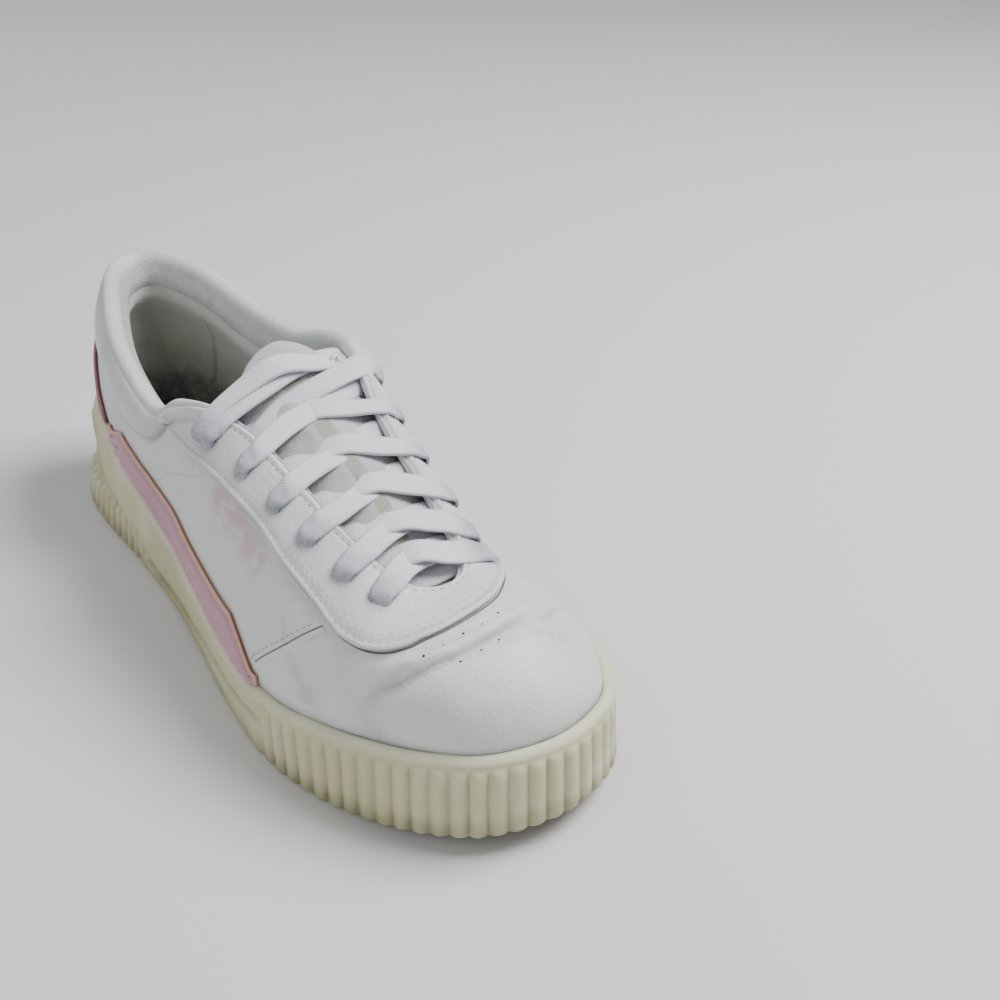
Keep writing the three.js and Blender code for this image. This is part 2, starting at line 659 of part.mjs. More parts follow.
// A flat strand that lies on the eyestay at both its ends and arches over the tongue between them.
function makeStrand(from, to) {
  const height = GAP + OVERLAY + LACE_LIFT + LACE_THICKNESS / 2;
  const over = (station, inset) => offLast(station, levelFromEdge(station, inset), height);
  const edges = [over(from, 0), over(to, 0)];
  const crown = edges[0].clone().lerp(edges[1], 0.5).addScaledVector(UP, LACE_ARCH);
  const reach = HOLE_INSET + LACE_PAST_HOLE;
  const path = new THREE.CatmullRomCurve3([over(from, reach), edges[0], crown, edges[1], over(to, reach)]);
  const normals = [from, to].map((station) => lastNormal(station, levelFromEdge(station, HOLE_INSET / 2)));
  const rings = Array.from({ length: LACE_STEPS + 1 }, (_, step) => {
    const share = step / LACE_STEPS;
    const forward = path.getTangent(share);
    const side = forward.clone().cross(normals[0].clone().lerp(normals[1], share)).normalize();
    const half = side.clone().cross(forward).multiplyScalar(LACE_THICKNESS / 2);
    side.multiplyScalar(LACE_WIDTH / 2);
    return [[1, 1], [1, -1], [-1, -1], [-1, 1]].map(([across, above]) => (
      path.getPoint(share).addScaledVector(side, across).addScaledVector(half, above)));
  });
  const last = 4 * LACE_STEPS;
  const triangles = [
    ...joinRings(rings, false),
    [0, 2, 1], [0, 3, 2], [last, last + 1, last + 2], [last, last + 2, last + 3],
  ];
  return makeGeometry(rings.flat(), triangles);
}

function makeLaces() {
  const rungs = LATERAL_HOLES.length;
  const strands = [makeStrand(LATERAL_HOLES[rungs - 1], MEDIAL_HOLES[rungs - 1])];
  for (let rung = 1; rung < rungs; rung += 1) {
    strands.push(makeStrand(LATERAL_HOLES[rung], MEDIAL_HOLES[rung - 1]));
    strands.push(makeStrand(LATERAL_HOLES[rung - 1], MEDIAL_HOLES[rung]));
  }
  strands.push(makeStrand(LATERAL_HOLES[0], MEDIAL_HOLES[0]));
  const joined = strands.map(toSolid).reduce((solid, strand) => solid.add(strand));
  return toGeometry(joined.simplify(LACE_DETAIL));
}

const cream = makeMaterial(0xcdcbaf, 0.7);
const tread = makeMaterial(0x8c7d5f, 0.85);
const sock = makeMaterial(0x46414b, 0.95);
const leather = makeMaterial(0xd0d3d5, 0.5);
const pink = makeMaterial(0xd7aab9, 0.55);
const burgundy = makeMaterial(0x6a1428, 0.6);
const textile = makeMaterial(0xc9cac6, 0.9);
const lace = makeMaterial(0xd7d7e1, 0.9);

const holes = makeHoles();
const pieces = [
  ["cupsole", makeCupsole(), cream],
  ["outsole", makeOutsole(), tread],
  ["insole", makeInsole(), sock],
  ["upper", makeUpper(holes), leather],
  ["eyestay", makeEyestay(holes), leather],
  ["side_panel_lateral", makeSidePanel(PANEL_LATERAL), pink],
  ["side_panel_medial", makeSidePanel(PANEL_MEDIAL), pink],
  ["heel_tab", makeHeelTab(), burgundy],
  ["tongue", makeTongue(), textile],
  ["laces", makeLaces(), lace],
];

const shoe = new THREE.Group();
for (const [name, geometry, material] of pieces) {
  const mesh = new THREE.Mesh(geometry, material);
  mesh.name = name;
  shoe.add(mesh);
}

// The origin is on the floor, under the middle of the shoe.
const box = new THREE.Box3().setFromObject(shoe);
const middle = box.getCenter(new THREE.Vector3());
shoe.position.set(-middle.x, -middle.y, -box.min.z);
shoe.updateMatrixWorld(true);

export default shoe;
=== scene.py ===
"""A worn low court sneaker for the right foot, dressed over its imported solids.

Shapes are worked out in drafting millimetres: the heel is at y = 0, +X is the lateral side and the floor is z = 0.
"""
import logging
import math
from dataclasses import dataclass
from enum import Enum
from typing import Callable, Optional, Sequence

import bpy
import numpy as np
from bpy.types import Material, Node, NodeSocket, Object
from mathutils import Matrix, Vector


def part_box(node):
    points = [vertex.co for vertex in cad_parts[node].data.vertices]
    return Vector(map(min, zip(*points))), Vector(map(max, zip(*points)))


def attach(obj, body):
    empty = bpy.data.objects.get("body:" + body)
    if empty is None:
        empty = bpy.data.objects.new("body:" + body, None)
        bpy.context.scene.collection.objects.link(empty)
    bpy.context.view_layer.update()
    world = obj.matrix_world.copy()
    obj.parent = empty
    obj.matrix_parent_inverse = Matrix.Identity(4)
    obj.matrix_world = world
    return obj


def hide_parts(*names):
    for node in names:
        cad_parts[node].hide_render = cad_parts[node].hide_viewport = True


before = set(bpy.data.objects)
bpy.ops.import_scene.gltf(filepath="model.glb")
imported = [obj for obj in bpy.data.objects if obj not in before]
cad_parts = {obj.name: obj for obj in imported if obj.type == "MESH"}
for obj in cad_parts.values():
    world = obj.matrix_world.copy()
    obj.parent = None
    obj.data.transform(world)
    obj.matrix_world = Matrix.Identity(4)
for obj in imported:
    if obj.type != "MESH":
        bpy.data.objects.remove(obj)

logging.basicConfig(level=logging.INFO, format="%(message)s")
LOG = logging.getLogger("sneaker")

Array = np.ndarray
Place = Callable[[Array, Array], Array]
Row = tuple[float, ...]
Table = tuple[Row, ...]

# The sole, in millimetres and in shares of its length
SOLE_LENGTH = 268.0
BALL_WIDTH = 98.0
HEEL_WIDTH = 73.0
TOE_SPRING = 8.0
SPRING_START = 0.775
HEEL_SPRING = 1.2
HEEL_ROUND = 0.05
ARCH_RISE = 1.2
ARCH_BACK = 0.34
ARCH_FRONT = 0.58
RIM_HEIGHT = 40.0
RIM_FLARE = 7.0
CUP_WALL = 1.8
FOOTBED_HEEL = 20.0
FOOTBED_FRONT = 11.0
RIB_DEPTH = 1.9
HEEL_BAND = 13.0
TREAD_RIM = 4.8
CUP_INSET = RIB_DEPTH + CUP_WALL

# The upper
LEATHER = 1.9
GAP = 0.3
SEAT_GAP = 0.5
# Station, then how far from the opening's edge the band round the throat reaches
EYESTAY_BORDER = (
    (4.74, 4.2), (5.28, 10.7), (6.06, 15.8), (6.76, 17.0), (7.45, 17.1), (8.13, 16.8), (8.65, 18.2),
    (9.39, 19.6), (9.76, 20.7), (10.11, 22.8), (10.48, 23.2), (10.8, 22.7), (11.06, 21.3), (11.32, 19.1),
    (11.52, 16.8), (11.77, 14.7), (12.09, 13.3), (12.45, 12.7), (12.92, 12.7), (13.6, 14.0), (14.5, 16.0),
    (16.0, 16.5), (17.2, 15.8), (18.0, 10.7), (18.6, 4.2),
)
EYESTAY_ENDS = (EYESTAY_BORDER[0][0], EYESTAY_BORDER[-1][0])
PANEL_LATERAL = (2.05, 8.6)
PANEL_MEDIAL = (16.4, 21.95)
PANEL_HEIGHT = 15.0
QUILT_START = 2.0
QUILT_PITCH = 4.5
HOLE_INSET = 9.0

OUTLINE = (
    (0.01, -0.192, 0.274), (0.03, -0.281, 0.37), (0.06, -0.37, 0.438), (0.1, -0.436, 0.486),
    (0.15, -0.482, 0.507), (0.2, -0.499, 0.51), (0.3, -0.435, 0.494), (0.4, -0.325, 0.446),
    (0.5, -0.348, 0.431), (0.6, -0.456, 0.466), (0.7, -0.508, 0.49), (0.75, -0.509, 0.483),
    (0.8, -0.499, 0.452), (0.85, -0.47, 0.405), (0.9, -0.43, 0.342), (0.94, -0.367, 0.27),
    (0.97, -0.296, 0.194), (0.99, -0.194, 0.092),
)
HEEL_TIP = 0.04
TOE_TIP = -0.052

# One row for each section of the last: side, seat, edge across, along and up, cup rim and its flare,
# handle at the rim (up, out), handle at the edge (down, out) and collar pad.
SECTIONS = (
    (1, 0, -0.01, 0.049, 88.04, 1, -0.8, 0.35, 0.04, 0.36, 0.13, 1),
    (1, 0.05, 0.112, 0.075, 87.44, 0.98, -1, 0.35, 0.02, 0.36, 0.09, 1),
    (1, 0.14, 0.219, 0.152, 84.83, 0.86, -1, 0.35, 0, 0.35, 0.06, 1),
    (1, 0.25, 0.291, 0.235, 77.0, 0.71, -0.5, 0.35, 0, 0.33, 0.05, 1),
    (1, 0.345, 0.291, 0.336, 64.99, 0.635, -0.25, 0.35, 0.01, 0.33, 0.08, 1),
    (1, 0.42, 0.276, 0.403, 74.04, 0.605, -0.1, 0.35, 0.01, 0.33, 0.12, 1),
    (1, 0.48, 0.235, 0.478, 80.5, 0.57, 0, 0.38, 0, 0.24, 0.26, 0.5),
    (1, 0.56, 0.194, 0.552, 79.49, 0.54, 0, 0.4, 0, 0.17, 0.34, 0),
    (1, 0.65, 0.184, 0.634, 75.53, 0.54, 0, 0.45, 0, 0.16, 0.34, 0),
    (1, 0.73, 0.173, 0.709, 70.47, 0.6, 0, 0.48, 0, 0.14, 0.36, 0),
    (1, 0.81, 0.143, 0.769, 64.49, 0.65, -0.1, 0.5, 0.02, 0.1, 0.45, 0),
    (1, 0.91, 0.087, 0.804, 58.97, 0.66, -0.2, 0.55, 0.03, 0.05, 0.8, 0),
    (1, 1, 0.01, 0.817, 57.5, 0.63, -0.2, 0.6, 0.03, -0.02, 1, 0),
    (-1, 0.91, -0.061, 0.808, 58.51, 0.64, -0.2, 0.4, -0.08, 0.12, 0.75, 0),
    (-1, 0.82, -0.107, 0.772, 62.47, 0.64, -0.1, 0.22, -0.22, 0.25, 0.42, 0),
    (-1, 0.74, -0.122, 0.72, 69.46, 0.6, 0, 0.14, -0.28, 0.16, 0.32, 0),
    (-1, 0.67, -0.138, 0.653, 77.0, 0.55, 0.1, 0.16, -0.26, 0.14, 0.28, 0),
    (-1, 0.6, -0.173, 0.586, 84.0, 0.54, 0.2, 0.28, -0.12, 0.14, 0.22, 0),
    (-1, 0.53, -0.235, 0.522, 92.0, 0.56, 0.3, 0.35, 0, 0.28, 0.14, 0.5),
    (-1, 0.45, -0.286, 0.44, 87.0, 0.6, 0.6, 0.36, 0, 0.33, 0.08, 1),
    (-1, 0.36, -0.286, 0.351, 79.52, 0.66, 0.6, 0.35, 0, 0.33, 0.06, 1),
    (-1, 0.26, -0.26, 0.25, 80.04, 0.74, 0, 0.35, 0.01, 0.33, 0.06, 1),
    (-1, 0.15, -0.224, 0.148, 84.56, 0.87, -0.6, 0.35, 0, 0.34, 0.07, 1),
    (-1, 0.05, -0.133, 0.069, 87.87, 0.98, -0.8, 0.35, 0.02, 0.36, 0.09, 1),
)
STATIONS = len(SECTIONS)

LATERAL_HOLES = (6.5, 7.4, 8.2, 8.95, 9.75, 10.55)
MEDIAL_HOLES = (17.65, 16.75, 15.9, 15.05, 14.25, 13.5)
VAMP_SEAM = ((43.6, 184.9, 29.9), (41.8, 193.5, 38.5), (39.2, 200.4, 45.2), (36.2, 204.8, 49.6), (32.5, 208.8, 53.1))


def smooth(value: Array, low: float, high: float) -> Array:
    """Rises smoothly from 0 at low to 1 at high."""
    share = np.clip((np.asarray(value, float) - low) / (high - low), 0.0, 1.0)
    return share * share * (3.0 - 2.0 * share)


def mix(a: Array, b: Array, share: Array) -> Array:
    """Goes in a straight line from a to b."""
    return a + (b - a) * share


def run_length(points: Array) -> Array:
    """How far along a line each of its corners lies."""
    return np.concatenate([[0.0], np.cumsum(np.linalg.norm(np.diff(points, axis=0), axis=1))])


def read_rows(where: Array, known: Array, table: Array) -> Array:
    """Reads the rows of a table at places between the known ones."""
    return np.stack([np.interp(where, known, column) for column in table.T], -1)


def curve(a: Array, b: Array, c: Array, d: Array, s: Array) -> Array:
    """A smooth curve from b to c, which comes from a and goes on to d."""
    return b + 0.5 * s * (c - a + s * (2 * a - 5 * b + 4 * c - d + s * (3 * (b - c) + d - a)))


def bump_curve(distance: Array, width: float) -> Array:
    """A soft hill that is 1 at no distance and dies away over the width."""
    return np.exp(-((distance / width) ** 2))


def wander(points: Array, size: float, seed: int) -> Array:
    """Smooth waves from -1 to 1 without a visible repeat.

    Args:
        points: Places in millimetres.
        size: Distance from one wave to the next.
        seed: Picks the directions of the waves.

    Returns:
        One number for each place.
    """
    source = np.random.default_rng(seed)
    total = np.zeros(points.shape[:-1])
    for step in range(7):
        axis = source.normal(size=3)
        axis *= 2.0 * math.pi / size * (0.6 + 0.22 * step) / np.linalg.norm(axis)
        total += np.sin(points @ axis + source.uniform(0.0, 6.28)) / (1.0 + 0.35 * step)
    return total / 3.2


def line_distance(points: Array, line: Sequence[Sequence[float]]) -> tuple[Array, Array, Array]:
    """Measures from places to a line of straight pieces.

    Args:
        points: Places, one in each row.
        line: Corners of the line, with as many numbers each as a place has.

    Returns:
        The distance, the side as a signed distance in a plane, and the share along the line.
    """
    corners = np.asarray(line, float)
    lengths = np.linalg.norm(np.diff(corners, axis=0), axis=1)
    starts = np.concatenate([[0.0], np.cumsum(lengths)])
    best = np.full(len(points), np.inf)
    side = np.zeros(len(points))
    along = np.zeros(len(points))
    for start, end, length, gone in zip(corners[:-1], corners[1:], lengths, starts):
        way = (end - start) / length
        reach = np.clip((points - start) @ way, 0.0, length)
        away = points - start - reach[:, None] * way
        distance = np.linalg.norm(away, axis=1)
        nearer = distance < best
        best[nearer] = distance[nearer]
        along[nearer] = ((gone + reach) / starts[-1])[nearer]
        side[nearer] = np.sign(way[0] * away[:, 1] - way[1] * away[:, 0])[nearer] * distance[nearer]
    return best, side, along


class Outline:
    """The sole's outline, read by the share of its length round from the heel."""

    def __init__(self) -> None:
        """Draws the closed curve through the table's places."""
        lateral = [self._place(share, across) for share, _, across in OUTLINE]
        medial = [self._place(share, across) for share, across, _ in OUTLINE][::-1]
        corners = np.array([self._place(0, HEEL_TIP), *lateral, self._place(1, TOE_TIP), *medial])
        self.points = np.concatenate([self._stretch(corners, index) for index in range(len(corners))])
        closed = np.vstack([self.points, self.points[:1]])
        lengths = run_length(closed)
        self.length = float(lengths[-1])
        self.shares = lengths / self.length
        self.points = closed
        slope = np.gradient(closed[:-1], axis=0)
        slope[0] = closed[1] - closed[-2]
        slope[-1] = closed[0] - closed[-3]
        out = np.stack([slope[:, 1], -slope[:, 0]], -1)
        out /= np.linalg.norm(out, axis=1)[:, None]
        self.outward = np.vstack([out, out[:1]])
        self.toe = float(self.shares[np.argmax(closed[:, 1])])

    @staticmethod
    def width(share: Array) -> Array:
        """Width that the table's shares across are of."""
        return mix(HEEL_WIDTH, BALL_WIDTH, smooth(share, 0.25, 0.55))

    def _place(self, share: float, across: float) -> Array:
        """A corner of the outline in millimetres."""
        return np.array([across * float(self.width(share)), share * SOLE_LENGTH])

    @staticmethod
    def _stretch(corners: Array, index: int) -> Array:
        """Points of the centripetal curve between one corner and the next."""
        count = len(corners)
        a, b, c, d = (corners[(index + step) % count] for step in (-1, 0, 1, 2))
        near, here, far = (np.linalg.norm(q - p) ** 0.5 for p, q in ((a, b), (b, c), (c, d)))
        start = ((b - a) / near - (c - a) / (near + here) + (c - b) / here) * here
        end = ((c - b) / here - (d - b) / (here + far) + (d - c) / far) * here
        t = np.linspace(0.0, 1.0, 60, endpoint=False)[:, None]
        return b + start * t + (3 * (c - b) - 2 * start - end) * t**2 + (2 * (b - c) + start + end) * t**3

    def at(self, share: Array) -> tuple[Array, Array]:
        """Places and outward directions at shares of the length round.

        Args:
            share: Shares of the length, which may pass 1.

        Returns:
            Flat places and flat directions of length 1.
        """
        wrapped = np.mod(share, 1.0)
        place = read_rows(wrapped, self.shares, self.points)
        out = read_rows(wrapped, self.shares, self.outward)
        return place, out / np.linalg.norm(out, axis=-1, keepdims=True)

    def share_at(self, side: int, along: float) -> float:
        """The share round where one side reaches a share of the sole's length.

        Args:
            side: 1 for lateral, -1 for medial.
            along: Share of the sole's length.

        Returns:
            The share round the outline.
        """
        if along <= 0:
            return 0.0
        if along >= 1:
            return self.toe
        lateral = self.shares <= self.toe
        chosen = lateral if side > 0 else ~lateral
        order = np.argsort(self.points[chosen, 1])
        return float(np.interp(along * SOLE_LENGTH, self.points[chosen, 1][order], self.shares[chosen][order]))


def lift(y: Array) -> Array:
    """How far the underside of the sole stands off the floor."""
    share = np.clip(np.asarray(y, float) / SOLE_LENGTH, 0.0, 1.0)
    toe = TOE_SPRING * np.maximum(0.0, (share - SPRING_START) / (1 - SPRING_START)) ** 1.6
    heel = HEEL_SPRING * np.maximum(0.0, 1 - share / HEEL_ROUND) ** 2
    arch = np.clip((share - ARCH_BACK) / (ARCH_FRONT - ARCH_BACK), 0.0, 1.0)
    return toe + heel + ARCH_RISE * np.sin(math.pi * arch) ** 2


def footbed(y: Array) -> Array:
    """Height of the footbed over the underside of the sole."""
    return mix(FOOTBED_HEEL, FOOTBED_FRONT, smooth(np.asarray(y) / SOLE_LENGTH, 0.25, 0.65))


def from_heel(station: Array) -> Array:
    """How many stations away the back of the heel is."""
    return np.abs(np.mod(np.asarray(station) + STATIONS / 2, STATIONS) - STATIONS / 2)


class Last:
    """The last that the upper is drawn over. Level -1 is the footbed, 0 the cup's rim and 1 the opening's edge."""

    LEVELS = 25

    def __init__(self, outline: Outline) -> None:
        """Reads the table of sections."""
        self.outline = outline
        self.seats = np.array([outline.share_at(row[0], row[1]) for row in SECTIONS])
        fine = np.linspace(-2.0, STATIONS + 2.0, 2000)
        self._fine = fine
        self._fine_seat = self.seat(fine)
        table = np.linspace(0.0, STATIONS, 961)
        levels = np.linspace(0.0, 1.0, self.LEVELS)
        points = self.point(table[:, None], levels[None, :])
        steps = np.linalg.norm(np.diff(points, axis=1), axis=-1)
        self._table = table
        self._lengths = np.concatenate([np.zeros((len(table), 1)), np.cumsum(steps, axis=1)], axis=1)

    def column(self, index: int, station: Array) -> Array:
        """One number of the table, read smoothly at any station."""
        return self._smooth(np.array([row[index] for row in SECTIONS], float), station, 0.0)

    def seat(self, station: Array) -> Array:
        """The share round the outline where a station's section stands."""
        return self._smooth(self.seats, station, 1.0)

    @staticmethod
    def _smooth(values: Array, station: Array, turn: float) -> Array:
        """A smooth closed curve through the values, which grow by turn each time round."""
        start = np.floor(station).astype(int)
        s = station - start
        a, b, c, d = (values[(start + k) % STATIONS] + turn * ((start + k) // STATIONS) for k in (-1, 0, 1, 2))
        return curve(a, b, c, d, s)

    def station_at(self, share: Array) -> Array:
        """The station whose section stands at a share round the outline."""
        return np.interp(share, self._fine_seat, self._fine)

    def rim(self, station: Array) -> Array:
        """Height of the cup's rim over the underside of the sole."""
        return self.column(5, station) * RIM_HEIGHT

    def flare(self, station: Array, height: Array) -> Array:
        """How far the cup's wall leans out at a height."""
        return self.column(6, station) * RIM_FLARE * height / self.rim(station)

    def pad(self, station: Array) -> Array:
        """How much of the collar's padding a station has, from 0 to 1."""
        return np.clip(self.column(11, station), 0.0, 1.0)

    def point(self, station: Array, level: Array) -> Array:
        """Points of the last at stations and levels.

        Args:
            station: Stations round the last.
            level: Levels from -1 to 1.

        Returns:
            Places in millimetres.
        """
        station, level = np.broadcast_arrays(np.asarray(station, float), np.asarray(level, float))
        place, out = self.outline.at(self.seat(station))
        rim = self.rim(station)
        base = lift(place[..., 1])

        def seated(height: Array) -> Array:
            """A point on the cup's inner wall at a height."""
            offset = self.flare(station, height) - CUP_INSET - GAP
            return np.concatenate([place + out * offset[..., None], (height + base)[..., None]], -1)

        start = seated(rim)
        below = mix(start, seated(footbed(place[..., 1]) + SEAT_GAP), -np.minimum(level, 0.0)[..., None])
        edge = np.stack([self.column(2, station) * BALL_WIDTH, self.column(3, station) * SOLE_LENGTH,
                         self.column(4, station)], -1)
        height = edge[..., 2] - start[..., 2]
        side = np.concatenate([out, np.zeros_like(out[..., :1])], -1)
        up = np.array([0.0, 0.0, 1.0])

        def handle(base_point: Array, vertical: Array, outward: Array) -> Array:
            """A handle of the section's curve, from one of its ends."""
            return base_point + up * (vertical * height)[..., None] + side * (outward * height)[..., None]

        low = handle(start, self.column(7, station), self.column(8, station))
        high = handle(edge, -self.column(9, station), self.column(10, station))
        t = np.clip(level, 0.0, 1.0)[..., None]
        above = start * (1 - t) ** 3 + 3 * low * t * (1 - t) ** 2 + 3 * high * t**2 * (1 - t) + edge * t**3
        return np.where((level < 0)[..., None], below, above)

    def normal(self, station: Array, level: Array) -> Array:
        """Outward directions of the last."""
        reach = 0.02
        station, level = np.broadcast_arrays(np.asarray(station, float), np.asarray(level, float))
        along = self.point(station + reach, level) - self.point(station - reach, level)
        top = np.minimum(1.0, level + reach)
        normal = np.cross(along, self.point(station, top) - self.point(station, top - 2 * reach))
        return normal / np.linalg.norm(normal, axis=-1, keepdims=True)

    def off(self, station: Array, level: Array, distance: Array | float) -> Array:
        """Points at a distance from the last."""
        distance = np.asarray(distance, float)
        return self.point(station, level) + self.normal(station, level) * distance[..., None]

    def _lengths_at(self, station: Array) -> Array:
        """Lengths from the rim to each level at stations."""
        place = np.mod(np.asarray(station, float), STATIONS) / STATIONS * (len(self._table) - 1)
        low = np.minimum(place.astype(int), len(self._table) - 2)
        return mix(self._lengths[low], self._lengths[low + 1], (place - low)[..., None])

    def _level(self, station: Array, distance: Array | float, downwards: bool) -> Array:
        """Finds the levels at distances along the last.

        Args:
            station: Stations.
            distance: Distances in millimetres.
            downwards: Whether they count from the opening's edge, not from the rim.

        Returns:
            The levels, from 0 to 1.
        """
        lengths = self._lengths_at(station)
        total = lengths[..., -1]
        wanted = np.clip(total - distance if downwards else total * 0 + distance, 0.0, total - 1e-9)
        step = np.clip((lengths <= wanted[..., None]).sum(-1), 1, self.LEVELS - 1)
        near = np.take_along_axis(lengths, (step - 1)[..., None], -1)[..., 0]
        far = np.take_along_axis(lengths, step[..., None], -1)[..., 0]
        return (step - 1 + (wanted - near) / (far - near)) / (self.LEVELS - 1)

    def from_edge(self, station: Array, distance: Array | float) -> Array:
        """The level at a distance along the last from its opening edge."""
        return self._level(station, distance, True)

    def from_rim(self, station: Array, distance: Array | float) -> Array:
        """The level at a distance along the last from the cup's rim."""
        return self._level(station, distance, False)

    def trace(self, line: Sequence[Sequence[float]], count: int) -> tuple[Array, Array]:
        """Finds the stations and levels along a line that lies on the last.

        Args:
            line: Corners of the line in millimetres.
            count: How many places to read along it.

        Returns:
            Stations and levels.
        """
        corners = np.asarray(line, float)
        gone = run_length(corners)
        where = np.linspace(0.0, gone[-1], 9)
        wanted = read_rows(where, gone, corners)
        stations, levels = [], []
        for spot in wanted:
            middle, reach = np.array([STATIONS / 2, 0.5]), np.array([STATIONS / 2, 0.5])
            for _ in range(5):
                s = np.linspace(middle[0] - reach[0], middle[0] + reach[0], 61)[:, None]
                t = np.clip(np.linspace(middle[1] - reach[1], middle[1] + reach[1], 41), 0, 1)[None, :]
                away = np.linalg.norm(self.point(s, t) - spot, axis=-1)
                best = np.unravel_index(np.argmin(away), away.shape)
                middle = np.array([s[best[0], 0], t[0, best[1]]])
                reach = reach / 8
            stations.append(middle[0])
            levels.append(middle[1])
        fine = np.linspace(0.0, 1.0, count)
        share = where / gone[-1]
        shape = [np.polynomial.Polynomial.fit(share, values, 4)(fine) for values in (stations, levels)]
        return shape[0], shape[1]

    def edge_distance(self, station: Array, level: Array) -> Array:
        """Distances along the last to its opening edge."""
        lengths = self._lengths_at(station)
        place = np.clip(level, 0.0, 1.0) * (self.LEVELS - 1)
        step = np.minimum(place.astype(int), self.LEVELS - 2)
        near = np.take_along_axis(lengths, step[..., None], -1)[..., 0]
        far = np.take_along_axis(lengths, (step + 1)[..., None], -1)[..., 0]
        return lengths[..., -1] - mix(near, far, place - step)


class Grain(Enum):
    """How the surface of a finish is broken up."""

    LEATHER = "leather"
    RUBBER = "rubber"
    NAP = "nap"
    KNIT = "knit"
    BRAID = "braid"


class Field:
    """A shader value on which arithmetic makes Math nodes."""

    def __init__(self, shader: "Shader", socket: NodeSocket) -> None:
        """Keeps the socket that gives the value."""
        self.shader = shader
        self.socket = socket

    def _math(self, operation: str, *values: "Field | float", clamp: bool = False) -> "Field":
        """Adds one Math node.

        Args:
            operation: Blender's name of the operation.
            values: What the node works on, in its order.
            clamp: Whether the result is held between 0 and 1.

        Returns:
            The node's result.
        """
        settings = {"operation": operation, "use_clamp": clamp}
        node = self.shader.node("ShaderNodeMath", settings, dict(enumerate(values)))
        return Field(self.shader, node.outputs[0])

    def __add__(self, other: "Field | float") -> "Field":
        """Adds."""
        return self._math("ADD", self, other)

    def __radd__(self, other: float) -> "Field":
        """Adds to a number."""
        return self._math("ADD", other, self)

    def __sub__(self, other: "Field | float") -> "Field":
        """Subtracts."""
        return self._math("SUBTRACT", self, other)

    def __rsub__(self, other: float) -> "Field":
        """Subtracts from a number."""
        return self._math("SUBTRACT", other, self)

    def __mul__(self, other: "Field | float") -> "Field":
        """Multiplies."""
        return self._math("MULTIPLY", self, other)

    def __rmul__(self, other: float) -> "Field":
        """Multiplies a number."""
        return self._math("MULTIPLY", other, self)

    def sine(self) -> "Field":
        """The sine of the value."""
        return self._math("SINE", self)

    def size(self) -> "Field":
        """The value without its sign."""
        return self._math("ABSOLUTE", self)

    def clamped(self) -> "Field":
        """The value held between 0 and 1."""
        return self._math("ADD", self, 0.0, clamp=True)

    def ramp(self, low: float, high: float) -> "Field":
        """Rises smoothly from 0 at low to 1 at high."""
        node = self.shader.node("ShaderNodeMapRange", {"interpolation_type": "SMOOTHSTEP"},
                                {0: self, 1: low, 2: high, 3: 0.0, 4: 1.0})
        return Field(self.shader, node.outputs[0])


class Shader:
    """Builds one material."""

    def __init__(self, name: str) -> None:
        """Starts a material with its surface shader."""
        self.material = bpy.data.materials.new(name)
        self.material.use_nodes = True
        self.tree = self.material.node_tree
        self.surface = self.tree.nodes["Principled BSDF"]
        self.place = self.node("ShaderNodeTexCoord", {}, {}).outputs["Object"]

    def node(self, kind: str, settings: dict[str, object], inputs: dict[object, object]) -> Node:
        """Adds a node.

        Args:
            kind: Blender's name of the node type.
            settings: Properties to set on it.
            inputs: Values, sockets or fields by the input's name or number.

        Returns:
            The node.
        """
        node = self.tree.nodes.new(kind)
        for key, value in settings.items():
            setattr(node, key, value)
        for key, value in inputs.items():
            value = value.socket if isinstance(value, Field) else value
            if isinstance(value, NodeSocket):
                self.tree.links.new(value, node.inputs[key])
            else:
                node.inputs[key].default_value = value
        return node

    def mask(self, name: str) -> Field:
        """A number that the mesh carries at each vertex."""
        return Field(self, self.node("ShaderNodeAttribute", {"attribute_name": name}, {}).outputs["Fac"])

    def noise(self, size: float, detail: float = 3.0, rough: float = 0.55) -> Field:
        """Cloudy noise whose clouds are about size metres wide."""
        made = self.node("ShaderNodeTexNoise", {}, {"Vector": self.place, "Scale": 1.0 / size, "Detail": detail,
                                                    "Roughness": rough})
        return Field(self, made.outputs["Fac"])

    def cells(self, size: float) -> Field:
        """Distance from the middles of rounded cells."""
        made = self.node("ShaderNodeTexVoronoi", {"feature": "F1"}, {"Vector": self.place, "Scale": 1.0 / size})
        return Field(self, made.outputs["Distance"])

    def along(self) -> tuple[Field, Field]:
        """The two flat coordinates of the piece, in millimetres."""
        apart = self.node("ShaderNodeSeparateXYZ", {}, {0: self.node("ShaderNodeUVMap", {}, {}).outputs[0]})
        return Field(self, apart.outputs[0]), Field(self, apart.outputs[1])

    def blend(self, low: object, high: object, share: Field) -> NodeSocket:
        """A colour that goes from low to high."""
        made = self.node("ShaderNodeMix", {"data_type": "RGBA", "clamp_factor": True},
                         {0: share, 6: low, 7: high})
        return made.outputs[2]

    def finish(self, colour: object, roughness: Field, height: Field, depth: float) -> Material:
        """Links the results to the surface and returns the material.

        Args:
            colour: Socket of the colour.
            roughness: How dull it is.
            height: Height of the grain.
            depth: Metres that a height of 1 stands for.

        Returns:
            The finished material.
        """
        bump = self.node("ShaderNodeBump", {}, {"Strength": 1.0, "Distance": depth, "Height": height})
        self.tree.links.new(colour, self.surface.inputs["Base Color"])
        self.tree.links.new(roughness.clamped().socket, self.surface.inputs["Roughness"])
        self.tree.links.new(bump.outputs[0], self.surface.inputs["Normal"])
        return self.material


def paint(red: float, green: float, blue: float) -> tuple[float, float, float, float]:
    """A screen colour from 0 to 255 as a linear one."""
    return (*((c / 255.0) ** 2.2 for c in (red, green, blue)), 1.0)


